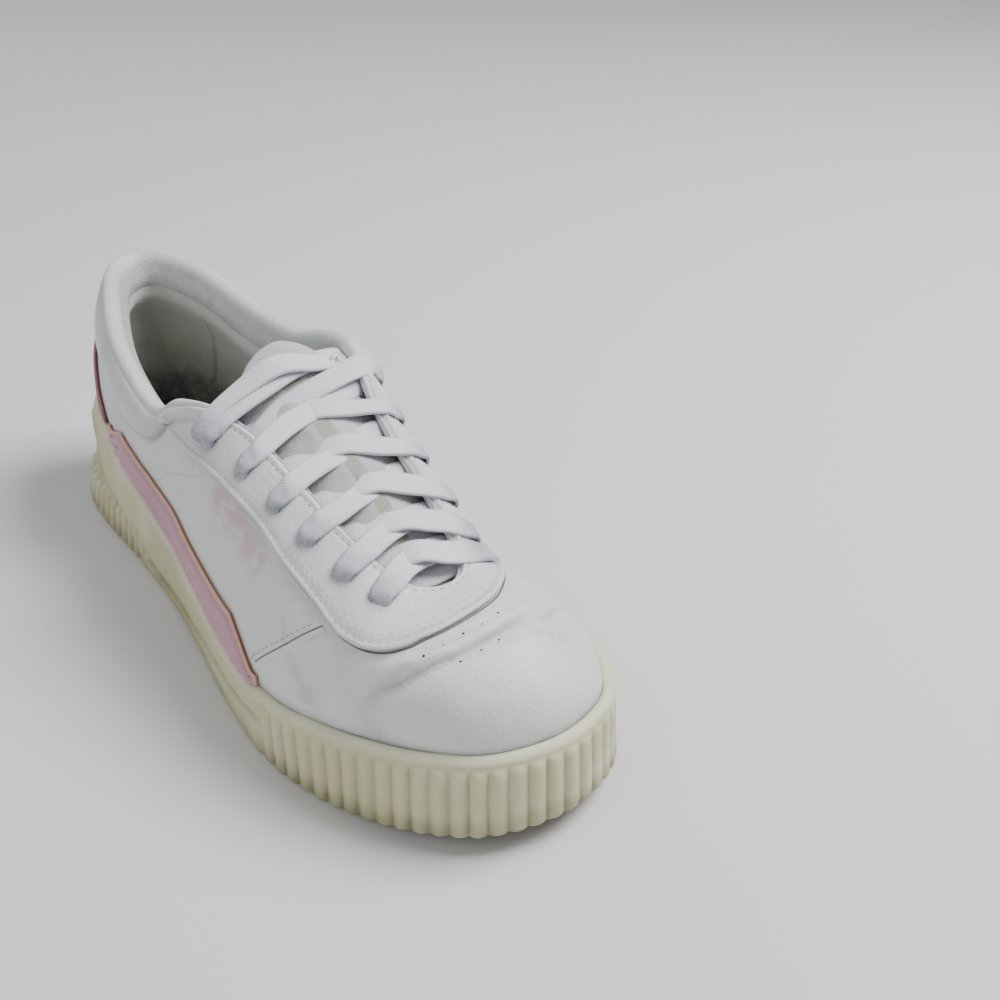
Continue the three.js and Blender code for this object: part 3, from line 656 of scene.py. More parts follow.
@dataclass(frozen=True)
class Finish:
    """How one kind of surface looks.

    Attributes:
        slot: The record's material slot.
        base: Main colour, like the others as red, green and blue on a screen, from 0 to 255.
        tint: Colour of its cloudy patches.
        dirt_and_shade: Colour of the dirt and painted shade that the piece's dirt-and-shade mask lays on.
        accent: Colour where the piece's accent mask is full.
        roughness: How dull it is.
        grain: How its surface is broken up.
        depth: Height of the grain in metres.
        sheen: Weight of the soft sheen of cloth.
    """

    slot: str
    base: Row
    tint: Row
    dirt_and_shade: Row
    accent: Row
    roughness: float
    grain: Grain
    depth: float
    sheen: float = 0.0

    def _relief(self, shader: Shader) -> Field:
        """The height of the grain."""
        if self.grain is Grain.LEATHER:
            pebbles = shader.cells(0.0011) * 0.5 + shader.noise(0.0006, 2.0) * 0.3
            return pebbles + shader.noise(0.006, 4.0, 0.6) * 1.6 + shader.noise(0.022, 2.0) * 2.0
        if self.grain is Grain.RUBBER:
            return shader.noise(0.0009, 4.0) + shader.noise(0.007, 3.0) * 2.0
        if self.grain is Grain.NAP:
            return shader.noise(0.0005, 4.0, 0.7) + shader.noise(0.003, 3.0) * 1.5
        u, v = shader.along()
        if self.grain is Grain.KNIT:
            rows = (u * 7.4).sine() * (v * 7.4).sine()
            return rows * 0.4 + shader.noise(0.0009, 4.0, 0.7) + shader.noise(0.005, 3.0) * 1.6
        slant = ((u + v.size() * 0.8) * 5.4).sine() * 0.5 + ((u - v.size() * 0.8) * 5.4).sine() * 0.3
        ridges = (v * 7.8).sine() * 0.35
        return slant + ridges + shader.noise(0.0012, 3.0) * 0.6

    def build(self) -> Material:
        """Makes the material."""
        shader = Shader(self.slot)
        clouds = shader.noise(0.03, 4.0, 0.6).ramp(0.35, 0.7)
        specks = shader.noise(0.004, 5.0, 0.7).ramp(0.52, 0.75)
        colour = shader.blend(paint(*self.base), paint(*self.tint), clouds * 0.7)
        colour = shader.blend(colour, paint(*self.accent), shader.mask("accent") * (0.62 + 0.45 * specks))
        # The dirt-and-shade mask lays the dirt colour on. In creases, grooves, recesses and along raised borders it is
        # painted shade; elsewhere it is dirt.
        soil = shader.mask("soil")
        worn = (soil * (shader.noise(0.006, 5.0, 0.7) * 1.5) + specks * 0.1).clamped()
        colour = shader.blend(colour, paint(*self.dirt_and_shade), worn)
        rough = (self.roughness - 0.08) + 0.16 * shader.noise(0.01, 3.0) + 0.15 * soil
        if self.sheen:
            shader.surface.inputs["Sheen Weight"].default_value = self.sheen
        return shader.finish(colour, rough, self._relief(shader), self.depth)


LEATHER_WHITE = Finish("white_leather", (217, 220, 220), (201, 206, 204), (138, 141, 140), (205, 150, 166), 0.52,
                       Grain.LEATHER, 0.00018)
PINK = Finish("pink_leather", (196, 151, 165), (182, 135, 151), (128, 98, 102), (222, 176, 126), 0.5,
              Grain.LEATHER, 0.0002)
BURGUNDY = Finish("burgundy_suede", (112, 26, 42), (88, 18, 32), (70, 40, 40), (190, 140, 140), 0.85, Grain.NAP,
                  0.0002, 0.3)
RUBBER = Finish("sole_rubber", (205, 202, 167), (194, 190, 150), (128, 123, 88), (226, 225, 204), 0.6,
                Grain.RUBBER, 0.00012)
TREAD = Finish("tread_rubber", (142, 128, 98), (122, 108, 82), (84, 72, 54), (196, 190, 158), 0.8, Grain.RUBBER,
               0.00015)
SOCK = Finish("sock_fabric", (74, 70, 80), (60, 56, 66), (48, 44, 48), (96, 90, 98), 0.92, Grain.KNIT, 0.0002, 0.2)
# Its dark dirt colour darkens the lower lining as painted shade inside the shoe and marks its seam.
LINING = Finish("tongue_fabric_lining", (198, 199, 188), (180, 182, 168), (84, 79, 84), (214, 217, 213), 0.9,
                Grain.NAP, 0.00025, 0.25)
TONGUE_CLOTH = Finish("tongue_fabric", (208, 207, 210), (203, 195, 214), (150, 142, 126), (150, 147, 118), 0.85,
                      Grain.KNIT, 0.0002, 0.2)
LACE = Finish("lace_fabric", (224, 224, 230), (210, 212, 222), (112, 116, 132), (232, 232, 236), 0.85, Grain.BRAID,
              0.00007, 0.2)
THREAD = Finish("thread", (206, 206, 200), (190, 190, 182), (120, 118, 108), (206, 206, 200), 0.8, Grain.NAP, 0.00005)
# Dark dots that stand for the shade inside the vamp's pinholes: painted shade.
HOLE = Finish("pinhole", (62, 58, 56), (52, 48, 48), (40, 38, 36), (62, 58, 56), 0.9, Grain.NAP, 0.00005)
# Dark strips that stand for the shadow beside raised edges: painted shadow.
SEAM = Finish("seam_shadow", (120, 122, 118), (104, 105, 100), (80, 80, 76), (150, 150, 146), 0.85, Grain.NAP,
              0.00008)


class Workshop:
    """Turns the worked-out places into Blender meshes in the row's frame."""

    def __init__(self, outline: Outline, last: Last) -> None:
        """Finds how far the row's frame is from the drafting frame."""
        share = np.linspace(0.0, 1.0, 4000)
        place, out = outline.at(share)
        station = last.station_at(share)
        crest = np.concatenate([place + out * last.flare(station, h)[:, None]
                                for h in (share * 0, share * 0 + HEEL_BAND)])
        low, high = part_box("cupsole")
        middle = (crest.min(0) + crest.max(0)) / 2
        row = (np.array(low) + np.array(high)) * 500.0
        self.shift = np.array([row[0] - middle[0], row[1] - middle[1], 0.0])
        self.materials: dict[str, Material] = {}
        LOG.info("drafting frame is shifted by %s", np.round(self.shift, 2))

    def to_row(self, points: Array) -> Array:
        """Places in the row's frame, in metres."""
        return (points + self.shift) / 1000.0

    def grid(self, name: str, columns: int, rows: int, place: Place, closed: bool = False,
             size: tuple[float, float] = (1.0, 1.0),
             masks: Optional[Callable[[Array, Array], dict[str, Array]]] = None) -> Object:
        """Shapes a grid of squares.

        Args:
            name: Name of the piece.
            columns: Squares along the first share.
            rows: Squares along the second share.
            place: Gives millimetre places for two arrays of shares from 0 to 1.
            closed: Whether the grid's borders meet and are welded.
            size: Millimetres that the two shares stand for in the flat coordinates.
            masks: Gives named numbers for each vertex.

        Returns:
            The new object.
        """
        bpy.ops.mesh.primitive_grid_add(x_subdivisions=columns, y_subdivisions=rows, size=2.0)
        obj = bpy.context.object
        obj.name = name
        mesh = obj.data
        mesh.name = name
        flat = np.zeros(len(mesh.vertices) * 3)
        mesh.vertices.foreach_get("co", flat)
        flat = flat.reshape(-1, 3)
        u, v = (flat[:, 0] + 1) / 2, (flat[:, 1] + 1) / 2
        points = self.to_row(place(u, v))
        mesh.vertices.foreach_set("co", points.reshape(-1))
        for key, values in {"soil": u * 0, "accent": u * 0, **(masks(u, v) if masks else {})}.items():
            layer = mesh.attributes.new(key, "FLOAT", "POINT")
            layer.data.foreach_set("value", np.broadcast_to(values, u.shape).astype(np.float32))
        coordinates = np.zeros(len(mesh.loops) * 2)
        layer = mesh.uv_layers.active
        layer.uv.foreach_get("vector", coordinates)
        coordinates = (coordinates.reshape(-1, 2) * size - (0.0, size[1] / 2)).reshape(-1)
        layer.uv.foreach_set("vector", coordinates)
        mesh.update()
        bpy.ops.object.mode_set(mode="EDIT")
        bpy.ops.mesh.select_all(action="SELECT")
        if closed:
            bpy.ops.mesh.remove_doubles(threshold=1e-6)
        bpy.ops.mesh.normals_make_consistent(inside=False)
        bpy.ops.object.mode_set(mode="OBJECT")
        bpy.ops.object.shade_smooth_by_angle(angle=math.radians(50))
        return obj

    def facing(self, obj: Object, outward: Sequence[float]) -> None:
        """Turns the faces of an open sheet over if they look away from a direction."""
        normals = np.zeros(len(obj.data.polygons) * 3)
        obj.data.polygons.foreach_get("normal", normals)
        if normals.reshape(-1, 3).mean(0) @ np.asarray(outward) < 0:
            self.only(obj)
            bpy.ops.object.mode_set(mode="EDIT")
            bpy.ops.mesh.select_all(action="SELECT")
            bpy.ops.mesh.flip_normals()
            bpy.ops.object.mode_set(mode="OBJECT")

    def thicken(self, obj: Object, outward: Sequence[float], thick: float) -> None:
        """Turns a sheet to show one side, and gives it its thickness behind that side.

        Args:
            obj: The sheet.
            outward: Direction that the shown side looks in.
            thick: Thickness in millimetres.
        """
        self.facing(obj, outward)
        self.only(obj)
        solidify = obj.modifiers.new("thickness", "SOLIDIFY")
        solidify.thickness = thick / 1000.0
        solidify.offset = -1.0
        bpy.ops.object.modifier_apply(modifier="thickness")

    def stand(self, obj: Object, centre: Array, normal: Array, tall: float = 1.0) -> None:
        """Moves a small piece from the middle to a place, upright there.

        Args:
            obj: The piece.
            centre: The place in millimetres.
            normal: Direction that its top looks in.
            tall: Share of its height that it keeps.
        """
        turn = Vector(normal).to_track_quat("Z", "Y").to_matrix().to_4x4()
        flatten = Matrix.Diagonal((1.0, 1.0, tall, 1.0))
        obj.data.transform(Matrix.Translation(Vector(self.to_row(centre))) @ turn @ flatten)

    @staticmethod
    def mark(obj: Object, value: float) -> None:
        """Gives all of a small piece the same share of the dirt-and-shade mask and of accent."""
        for key in ("soil", "accent"):
            layer = obj.data.attributes.new(key, "FLOAT", "POINT")
            layer.data.foreach_set("value", np.full(len(obj.data.vertices), value, np.float32))

    @staticmethod
    def only(*objects: Object) -> None:
        """Selects these objects alone, with the first one active."""
        bpy.ops.object.select_all(action="DESELECT")
        for obj in objects:
            obj.select_set(True)
        bpy.context.view_layer.objects.active = objects[0]

    def join(self, name: str, objects: Sequence[Object]) -> Object:
        """Makes one piece of several."""
        self.only(*objects)
        bpy.ops.object.join()
        objects[0].name = name
        objects[0].data.name = name
        return objects[0]

    def cut(self, obj: Object, cutter: Object) -> None:
        """Takes the cutter's shape out of a piece."""
        self.only(obj)
        modifier = obj.modifiers.new("cut", "BOOLEAN")
        modifier.operation = "DIFFERENCE"
        modifier.solver = "EXACT"
        modifier.object = cutter
        bpy.ops.object.modifier_apply(modifier="cut")

    def dress(self, obj: Object, finish: Finish, slot: str, *nodes: str) -> Object:
        """Gives a piece its material and its place in the row, and hides the solids that it stands for.

        Args:
            obj: The piece.
            finish: How it looks.
            slot: Not used.
            nodes: The solids that it replaces.

        Returns:
            The piece.
        """
        if finish.slot not in self.materials:
            self.materials[finish.slot] = finish.build()
        obj.data.materials.clear()
        obj.data.materials.append(self.materials[finish.slot])
        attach(obj, "root")
        if nodes:
            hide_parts(*nodes)
        LOG.info("%s: %d faces", obj.name, len(obj.data.polygons))
        return obj


@dataclass
class Cupsole:
    """The rubber cup with its ribbed toe, ribbed heel band, step line and smooth walls."""

    outline: Outline
    last: Last
    shop: Workshop
    rib_pitch: float = 5.6
    rib_shown: float = 1.35
    rib_top_margin: float = 3.2
    toe_rib_start: float = 0.715
    heel_rib_end: float = 0.3
    step_depth: float = 0.8
    plate_height: float = 4.0
    # Distance from the heel, then height of the line where the plain wall steps in.
    step_points: Table = (
        (84.6, 5.0), (95.8, 4.0), (107.8, 4.3), (127.7, 5.9), (155.5, 9.4), (176.7, 11.3), (187.1, 13.1),
    )
    # The slanted end of the smooth lateral wall over the heel's ribs, as distance from the heel and height.
    wall_end: Table = ((18.0, 34.0), (30.0, 27.0), (43.3, 18.4), (55.4, 15.7), (66.9, 12.1), (76.0, 5.0))
    columns: int = 1500
    # Shares of the wall's height where the section has its outer points.
    outer_shares: Row = (*np.linspace(0.0, 0.94, 40), 0.965, 0.985, 1.0)

    def _ribbed(self, along: Array) -> tuple[Array, Array]:
        """How strongly the toe's and the heel's ribs show at places round the cup."""
        toe = smooth(along, self.toe_rib_start, self.toe_rib_start + 0.004)
        heel = 1 - smooth(along, self.heel_rib_end - 0.005, self.heel_rib_end)
        return toe, heel

    def _phase(self, share: Array) -> Array:
        """Counts the ribs along each ribbed stretch, so that the crests match the solid's."""
        side = self.outline.share_at
        stretches = [(0.0, side(1, self.heel_rib_end)), (side(1, self.toe_rib_start), side(-1, self.toe_rib_start)),
                     (side(-1, self.heel_rib_end), 1.0)]
        phase = np.zeros_like(share)
        for start, end in stretches:
            count = round((end - start) * self.outline.length / self.rib_pitch)
            inside = (share >= start) & (share <= end)
            phase[inside] = ((share - start) / (end - start) * count)[inside]
        return phase

    def step_line(self, y: Array) -> Array:
        """Height of the line where the plain wall steps in, over the underside of the sole."""
        along, tall = np.array(self.step_points).T
        return np.interp(y, along, tall) - 0.6 * lift(y)

    def wall(self, share: Array, height: Array) -> tuple[Array, Array]:
        """The outer wall's offset from the outline and how sheltered it is.

        Args:
            share: Share round the outline.
            height: Height over the underside of the sole.

        Returns:
            The offset in millimetres and a mask that is 1 in grooves.
        """
        place, _ = self.outline.at(share)
        along = place[:, 1] / SOLE_LENGTH
        rim = self.last.rim(self.last.station_at(share))
        toe, heel = self._ribbed(along)
        phase = self._phase(share)
        crest = np.abs(np.sin(math.pi * phase)) ** 0.8
        jitter = 0.6 * np.sin(phase * 2.3) + 0.4 * np.sin(phase * 5.1)
        rib_top = np.where(toe > 0.5, rim - self.rib_top_margin, HEEL_BAND + 0.8 * jitter)
        dome = np.sqrt(np.clip(1 - np.clip((height - rib_top + 2.2) / 2.2, 0, 1) ** 2, 0, 1))
        rib = crest * dome * (1 - 0.25 * bump_curve(height, 1.2))
        rubbed = 0.75 * bump_curve((share - self.outline.toe - 0.055) / 0.045, 1.0)
        toe_wall = -self.rib_shown * (1 - rib) * (1 - rubbed) - 0.45 * rubbed
        heel_wall = -RIB_DEPTH * (1 - rib * smooth(height, -0.1, 0.6)) - 0.2 * smooth(height, HEEL_BAND, HEEL_BAND + 2)
        line = self.step_line(place[:, 1])
        step = smooth(height, line - 0.35, line + 0.35)
        plain = -self.step_depth * step - 0.3 * bump_curve(height - line - 0.7, 0.45)
        lateral = share < self.outline.toe
        _, side, _ = line_distance(np.stack([place[:, 1], height], -1), self.wall_end)
        proud = smooth(side, -0.5, 0.5) * lateral + (along > 0.2) * ~lateral * smooth(along, 0.2, 0.23)
        ridge = 0.75 * bump_curve(side - 1.0, 0.9) * lateral * heel
        recess = heel_wall - 0.35 * lateral * bump_curve(side + 1.2, 1.0)
        upper_heel = mix(recess, np.maximum(heel_wall, -self.step_depth + ridge), proud)
        offset = toe * toe_wall + (1 - toe) * (heel * upper_heel + (1 - heel) * plain)
        end = (1 - toe) * smooth(along, self.toe_rib_start - 0.012, self.toe_rib_start)
        offset = offset - 0.9 * end * (height < rim - self.rib_top_margin)
        groove = (toe * dome + heel * (height < HEEL_BAND)) * (1 - crest)
        return offset, np.clip(groove, 0.0, 1.0)

    def _section(self, share: Array, ring: Array) -> tuple[Array, Array, Array]:
        """Offsets, heights and the dirt-and-shade mask at places round the closed section, which ring counts from 0 to
        1.

        Args:
            share: Shares round the outline.
            ring: Shares round the section.

        Returns:
            Offsets from the outline, heights over the underside, and dirt with painted shade.
        """
        station = self.last.station_at(share)
        rim = self.last.rim(station)
        place, _ = self.outline.at(share)
        bed = footbed(place[:, 1])
        inner = [(-CUP_INSET - 0.15, 1.0, 0), (-CUP_INSET, 0.97, 0), (-CUP_INSET, 0.5, 0), (-CUP_INSET, 0.0, 1),
                 (-14.0, 0.0, 1), (-14.0, self.plate_height, 2), (-TREAD_RIM, self.plate_height, 2),
                 (-TREAD_RIM, 0.5, 2), (-TREAD_RIM + 0.5, 0.0, 2), (-2.4, 0.0, 2)]
        count = len(self.outer_shares) + len(inner)
        index = np.clip(np.round(np.mod(ring, 1.0) * count).astype(int), 0, count) % count
        offset = np.zeros_like(share)
        height = np.zeros_like(share)
        soil = np.zeros_like(share)
        for step, part in enumerate(self.outer_shares):
            here = index == step
            if not here.any():
                continue
            tall = part * rim[here]
            wall, groove = self.wall(share[here], tall)
            rounding = 1.7 * np.clip((part - 0.93) / 0.07, 0, 1) ** 1.6 + 0.7 * np.clip(1 - tall / 1.2, 0, 1) ** 2
            offset[here] = wall - rounding
            height[here] = tall
            low = 1 - smooth(tall, 1.0, 9.0)
            along = self.outline.at(share[here])[0][:, 1] / SOLE_LENGTH
            bare = smooth(along, self.heel_rib_end, self.heel_rib_end + 0.02)
            bare = bare * smooth(along, self.toe_rib_start, self.toe_rib_start - 0.02)
            line = self.step_line(along * SOLE_LENGTH)
            rear = smooth(along, self.heel_rib_end, 0.1) * (wall < -1.5) * 0.35
            # Darker near the floor; painted shade in the rib grooves, in the groove above the step line and in the
            # heel's recess.
            soil[here] = 0.7 * low + 0.4 * groove + 0.5 * bump_curve(tall - line - 0.4, 0.7) * bare + rear
        for step, (inset, tall, kind) in enumerate(inner, len(self.outer_shares)):
            here = index == step
            offset[here] = inset
            height[here] = mix(bed[here], rim[here], tall) if kind == 0 else (bed[here] if kind == 1 else tall)
            soil[here] = 0.4 if kind == 0 else 0.8
        return offset, height, soil

    def build(self) -> Object:
        """Models the cup as one closed ring under the upper."""
        rings = len(self.outer_shares) + 10
        soil_shade_and_wear: dict[str, Array] = {}

        def place(u: Array, v: Array) -> Array:
            """Places round the cup and round its section."""
            offset, height, soil = self._section(u, v)
            soil_shade_and_wear["soil"] = soil
            spot, out = self.outline.at(u)
            station = self.last.station_at(u)
            across = spot + out * (offset + self.last.flare(station, height))[:, None]
            points = np.concatenate([across, (height + lift(spot[:, 1]))[:, None]], -1)
            dents = wander(points, 26.0, 5) * 0.22 + wander(points, 7.0, 6) * 0.06
            points[:, :2] += out * (dents * smooth(height, 0.5, 3.0))[:, None]
            crown = smooth(height / self.last.rim(station), 0.9, 0.97)
            soil_shade_and_wear["accent"] = 0.6 * smooth(wander(points, 30.0, 9), 0.2, 0.9) * (offset > -1.0) + 0.7 * crown
            return points

        def masks(u: Array, v: Array) -> dict[str, Array]:
            """The dirt, painted shade and wear that were worked out with the places."""
            return soil_shade_and_wear

        obj = self.shop.grid("cupsole_rubber", self.columns, rings, place, closed=True,
                             size=(self.outline.length, 90.0), masks=masks)
        return self.shop.dress(obj, RUBBER, "sole_rubber", "cupsole")


@dataclass
class Treads:
    """The tread plate and the insole, which both fill the outline."""

    outline: Outline
    last: Last
    shop: Workshop
    toe_grooves: Row = (0.655, 0.708, 0.74, 0.785, 0.832, 0.872, 0.91)
    heel_grooves: Row = (0.055, 0.1, 0.15, 0.2, 0.252)
    waist_recess: Table = ((0.08, 0.46), (-0.22, 0.464), (-0.16, 0.36))
    insole_thick: float = 2.4
    outsole_thick: float = 1.7

    def _across(self, u: Array, v: Array, inset: float, height: float) -> Array:
        """Flat places that fill the outline behind an inset, clear of a wall that leans in at a height.

        Args:
            u: Shares across.
            v: Shares along.
            inset: Millimetres to the outline.
            height: Height at which the wall is read.

        Returns:
            Flat places.
        """
        shares = self.outline.shares
        lean = np.minimum(self.last.flare(self.last.station_at(shares), shares * 0 + height), 0.0)
        ring = self.outline.points - self.outline.outward * (inset - lean)[:, None]
        y = mix(ring[:, 1].min() + 0.5, ring[:, 1].max() - 0.5, (1 - np.cos(math.pi * v)) / 2)
        sides = []
        for chosen in (shares > self.outline.toe, shares <= self.outline.toe):
            order = np.argsort(ring[chosen, 1])
            sides.append(np.interp(y, ring[chosen, 1][order], ring[chosen, 0][order]))
        middle = (sides[0] + sides[1]) / 2
        half = np.maximum((sides[1] - sides[0]) / 2, 3.0)
        return np.stack([middle + half * (2 * u - 1), y], -1)

    def insole(self) -> Object:
        """Models the sock on the footbed, a little dished and curled up at its border."""
        def place(u: Array, v: Array) -> Array:
            """Places over the footbed."""
            flat = self._across(u, v, CUP_INSET + GAP + LEATHER + 0.5, 25.0)
            bed = footbed(flat[:, 1]) + lift(flat[:, 1]) + SEAT_GAP + 3.2
            rim = np.abs(2 * u - 1)
            dish = 1.6 * rim**4 + 1.2 * np.clip((0.12 - v) / 0.12, 0, 1) ** 2
            toes = 0.9 * bump_curve(np.hypot((flat[:, 0] - 4) / 1.3, flat[:, 1] - 190), 26.0)
            heel = 0.8 * bump_curve(np.hypot(flat[:, 0], flat[:, 1] - 42), 24.0)
            points = np.concatenate([flat, (bed + dish - toes - heel)[:, None]], -1)
            points[:, 2] += wander(points, 14.0, 21) * 0.18
            return points

        def masks(u: Array, v: Array) -> dict[str, Array]:
            """Dirt under the toes and a paler heel."""
            return {"soil": 0.5 * smooth(v, 0.3, 0.6), "accent": smooth(v, 0.18, 0.1)}

        obj = self.shop.grid("insole_sock", 90, 200, place, size=(70.0, 250.0), masks=masks)
        self.shop.thicken(obj, (0, 0, 1), self.insole_thick)
        self.shop.dress(obj, SOCK, "sock_fabric", "insole")
        return obj

    def outsole(self) -> Object:
        """Models the tread plate with its main grooves and fine ribs."""
        def place(u: Array, v: Array) -> Array:
            """Places of the underside, with the tread's hollows."""
            flat = self._across(u, v, TREAD_RIM + GAP + 0.1, 0.0)
            share = flat[:, 1] / SOLE_LENGTH
            turned = flat[:, 1] + 0.065 * flat[:, 0]
            depth = np.zeros_like(u)
            for along in self.toe_grooves:
                depth = np.maximum(depth, 1.3 * bump_curve(turned - along * SOLE_LENGTH, 1.1))
            for along in self.heel_grooves:
                depth = np.maximum(depth, 1.3 * (1 - smooth(np.abs(turned - along * SOLE_LENGTH), 1.9, 2.7)))
            fine = (share > 0.62) | (share < 0.3)
            depth += 0.35 * fine * (0.5 + 0.5 * np.sin(turned * 2 * math.pi / 2.4))
            triangle = np.array([[a * float(Outline.width(b)), b * SOLE_LENGTH] for a, b in self.waist_recess])
            inside = np.ones_like(u, bool)
            for corner, following in zip(triangle, np.roll(triangle, -1, axis=0)):
                way = following - corner
                inside &= way[0] * (flat[:, 1] - corner[1]) - way[1] * (flat[:, 0] - corner[0]) > 0
            depth = np.where(inside, 1.3, depth)
            depth *= smooth(1 - np.abs(2 * u - 1), 0.0, 0.05)
            return np.concatenate([flat, (lift(flat[:, 1]) + depth + 0.02)[:, None]], -1)

        def masks(u: Array, v: Array) -> dict[str, Array]:
            """Dirt where the foot presses and a paler border."""
            return {"soil": 0.6 * smooth(v, 0.5, 0.7) + 0.5 * smooth(v, 0.3, 0.1),
                    "accent": smooth(np.abs(2 * u - 1), 0.93, 0.97)}

        obj = self.shop.grid("outsole_tread", 60, 640, place, size=(80.0, 258.0), masks=masks)
        self.shop.thicken(obj, (0, 0, -1), self.outsole_thick)
        return self.shop.dress(obj, TREAD, "tread_rubber", "outsole")


@dataclass(frozen=True)
class Crease:
    """A fold of the leather, as a line on the plan of the shoe.

    Attributes:
        line: Corners of the line, across and along.
        depth: Depth of the trough in millimetres, which is a ridge where it is negative.
        width: Half width of the trough.
        bank: Height of the ridge on the heel's side of the line.
    """

    line: tuple[tuple[float, float], ...]
    depth: float
    width: float
    bank: float

    def press(self, points: Array) -> Array:
        """How far the fold moves each point outwards."""
        distance, side, along = line_distance(points[:, :2], self.line)
        fade = smooth(along, 0.0, 0.3) * smooth(along, 1.0, 0.7)
        near = np.where(side > 0, 0.8 * self.width, 2.8 * self.width)
        trough = -self.depth * bump_curve(distance, near)
        ridge = self.bank * bump_curve(side - 2.2 * self.width, 1.6 * self.width)
        return fade * (trough + ridge) * (distance < 8 * self.width)

    def grime_and_shade(self, points: Array) -> Array:
        """Painted shade and some dirt at the bottom of the trough."""
        distance, _, along = line_distance(points[:, :2], self.line)
        return 0.42 * self.depth * smooth(along, 0.0, 0.25) * smooth(along, 1.0, 0.6) * bump_curve(distance, 0.75)


CREASES = (
    Crease(((36.4, 222.7), (34.4, 226.6), (31.3, 230.7), (28.3, 233.6), (26.4, 235.4), (21.6, 237.7), (16.3, 239.2),
            (10.9, 240.5), (4.8, 240.9), (-1.0, 240.5), (-7.9, 239.4), (-16.3, 237.4), (-24.0, 233.0)), 1.9, 1.15, 0.5),
    Crease(((32.9, 228.2), (29.7, 231.0), (26.2, 233.0), (20.5, 236.2)), 0.6, 1.0, 0.5),
    Crease(((22.0, 234.4), (12.0, 236.6), (2.0, 237.0), (-8.0, 235.4)), 0.5, 1.0, 0.35),
    Crease(((34.4, 227.4), (33.6, 230.4), (31.5, 234.5)), 0.5, 1.0, 0.3),
    Crease(((-8.0, 243.6), (-14.0, 244.6), (-19.6, 246.8), (-24.0, 247.6)), 1.0, 1.3, 0.6),
    Crease(((-12.0, 241.0), (-20.0, 239.0), (-29.0, 233.0), (-34.0, 227.0)), 1.2, 1.7, 0.7),
    Crease(((40.5, 199.0), (41.0, 208.0), (38.0, 217.0)), 0.8, 2.6, 0.5),
    Crease(((37.0, 192.0), (40.0, 198.0), (42.5, 207.0)), 0.5, 1.8, 0.3),
    Crease(((-30.0, 200.0), (-38.0, 206.0), (-42.0, 214.0)), 1.4, 2.4, 0.8),
    Crease(((-28.0, 212.0), (-36.0, 219.0), (-39.0, 226.0)), 1.1, 2.1, 0.6),
    Crease(((-33.0, 186.0), (-39.0, 192.0), (-43.0, 200.0)), 0.9, 2.4, 0.5),
)


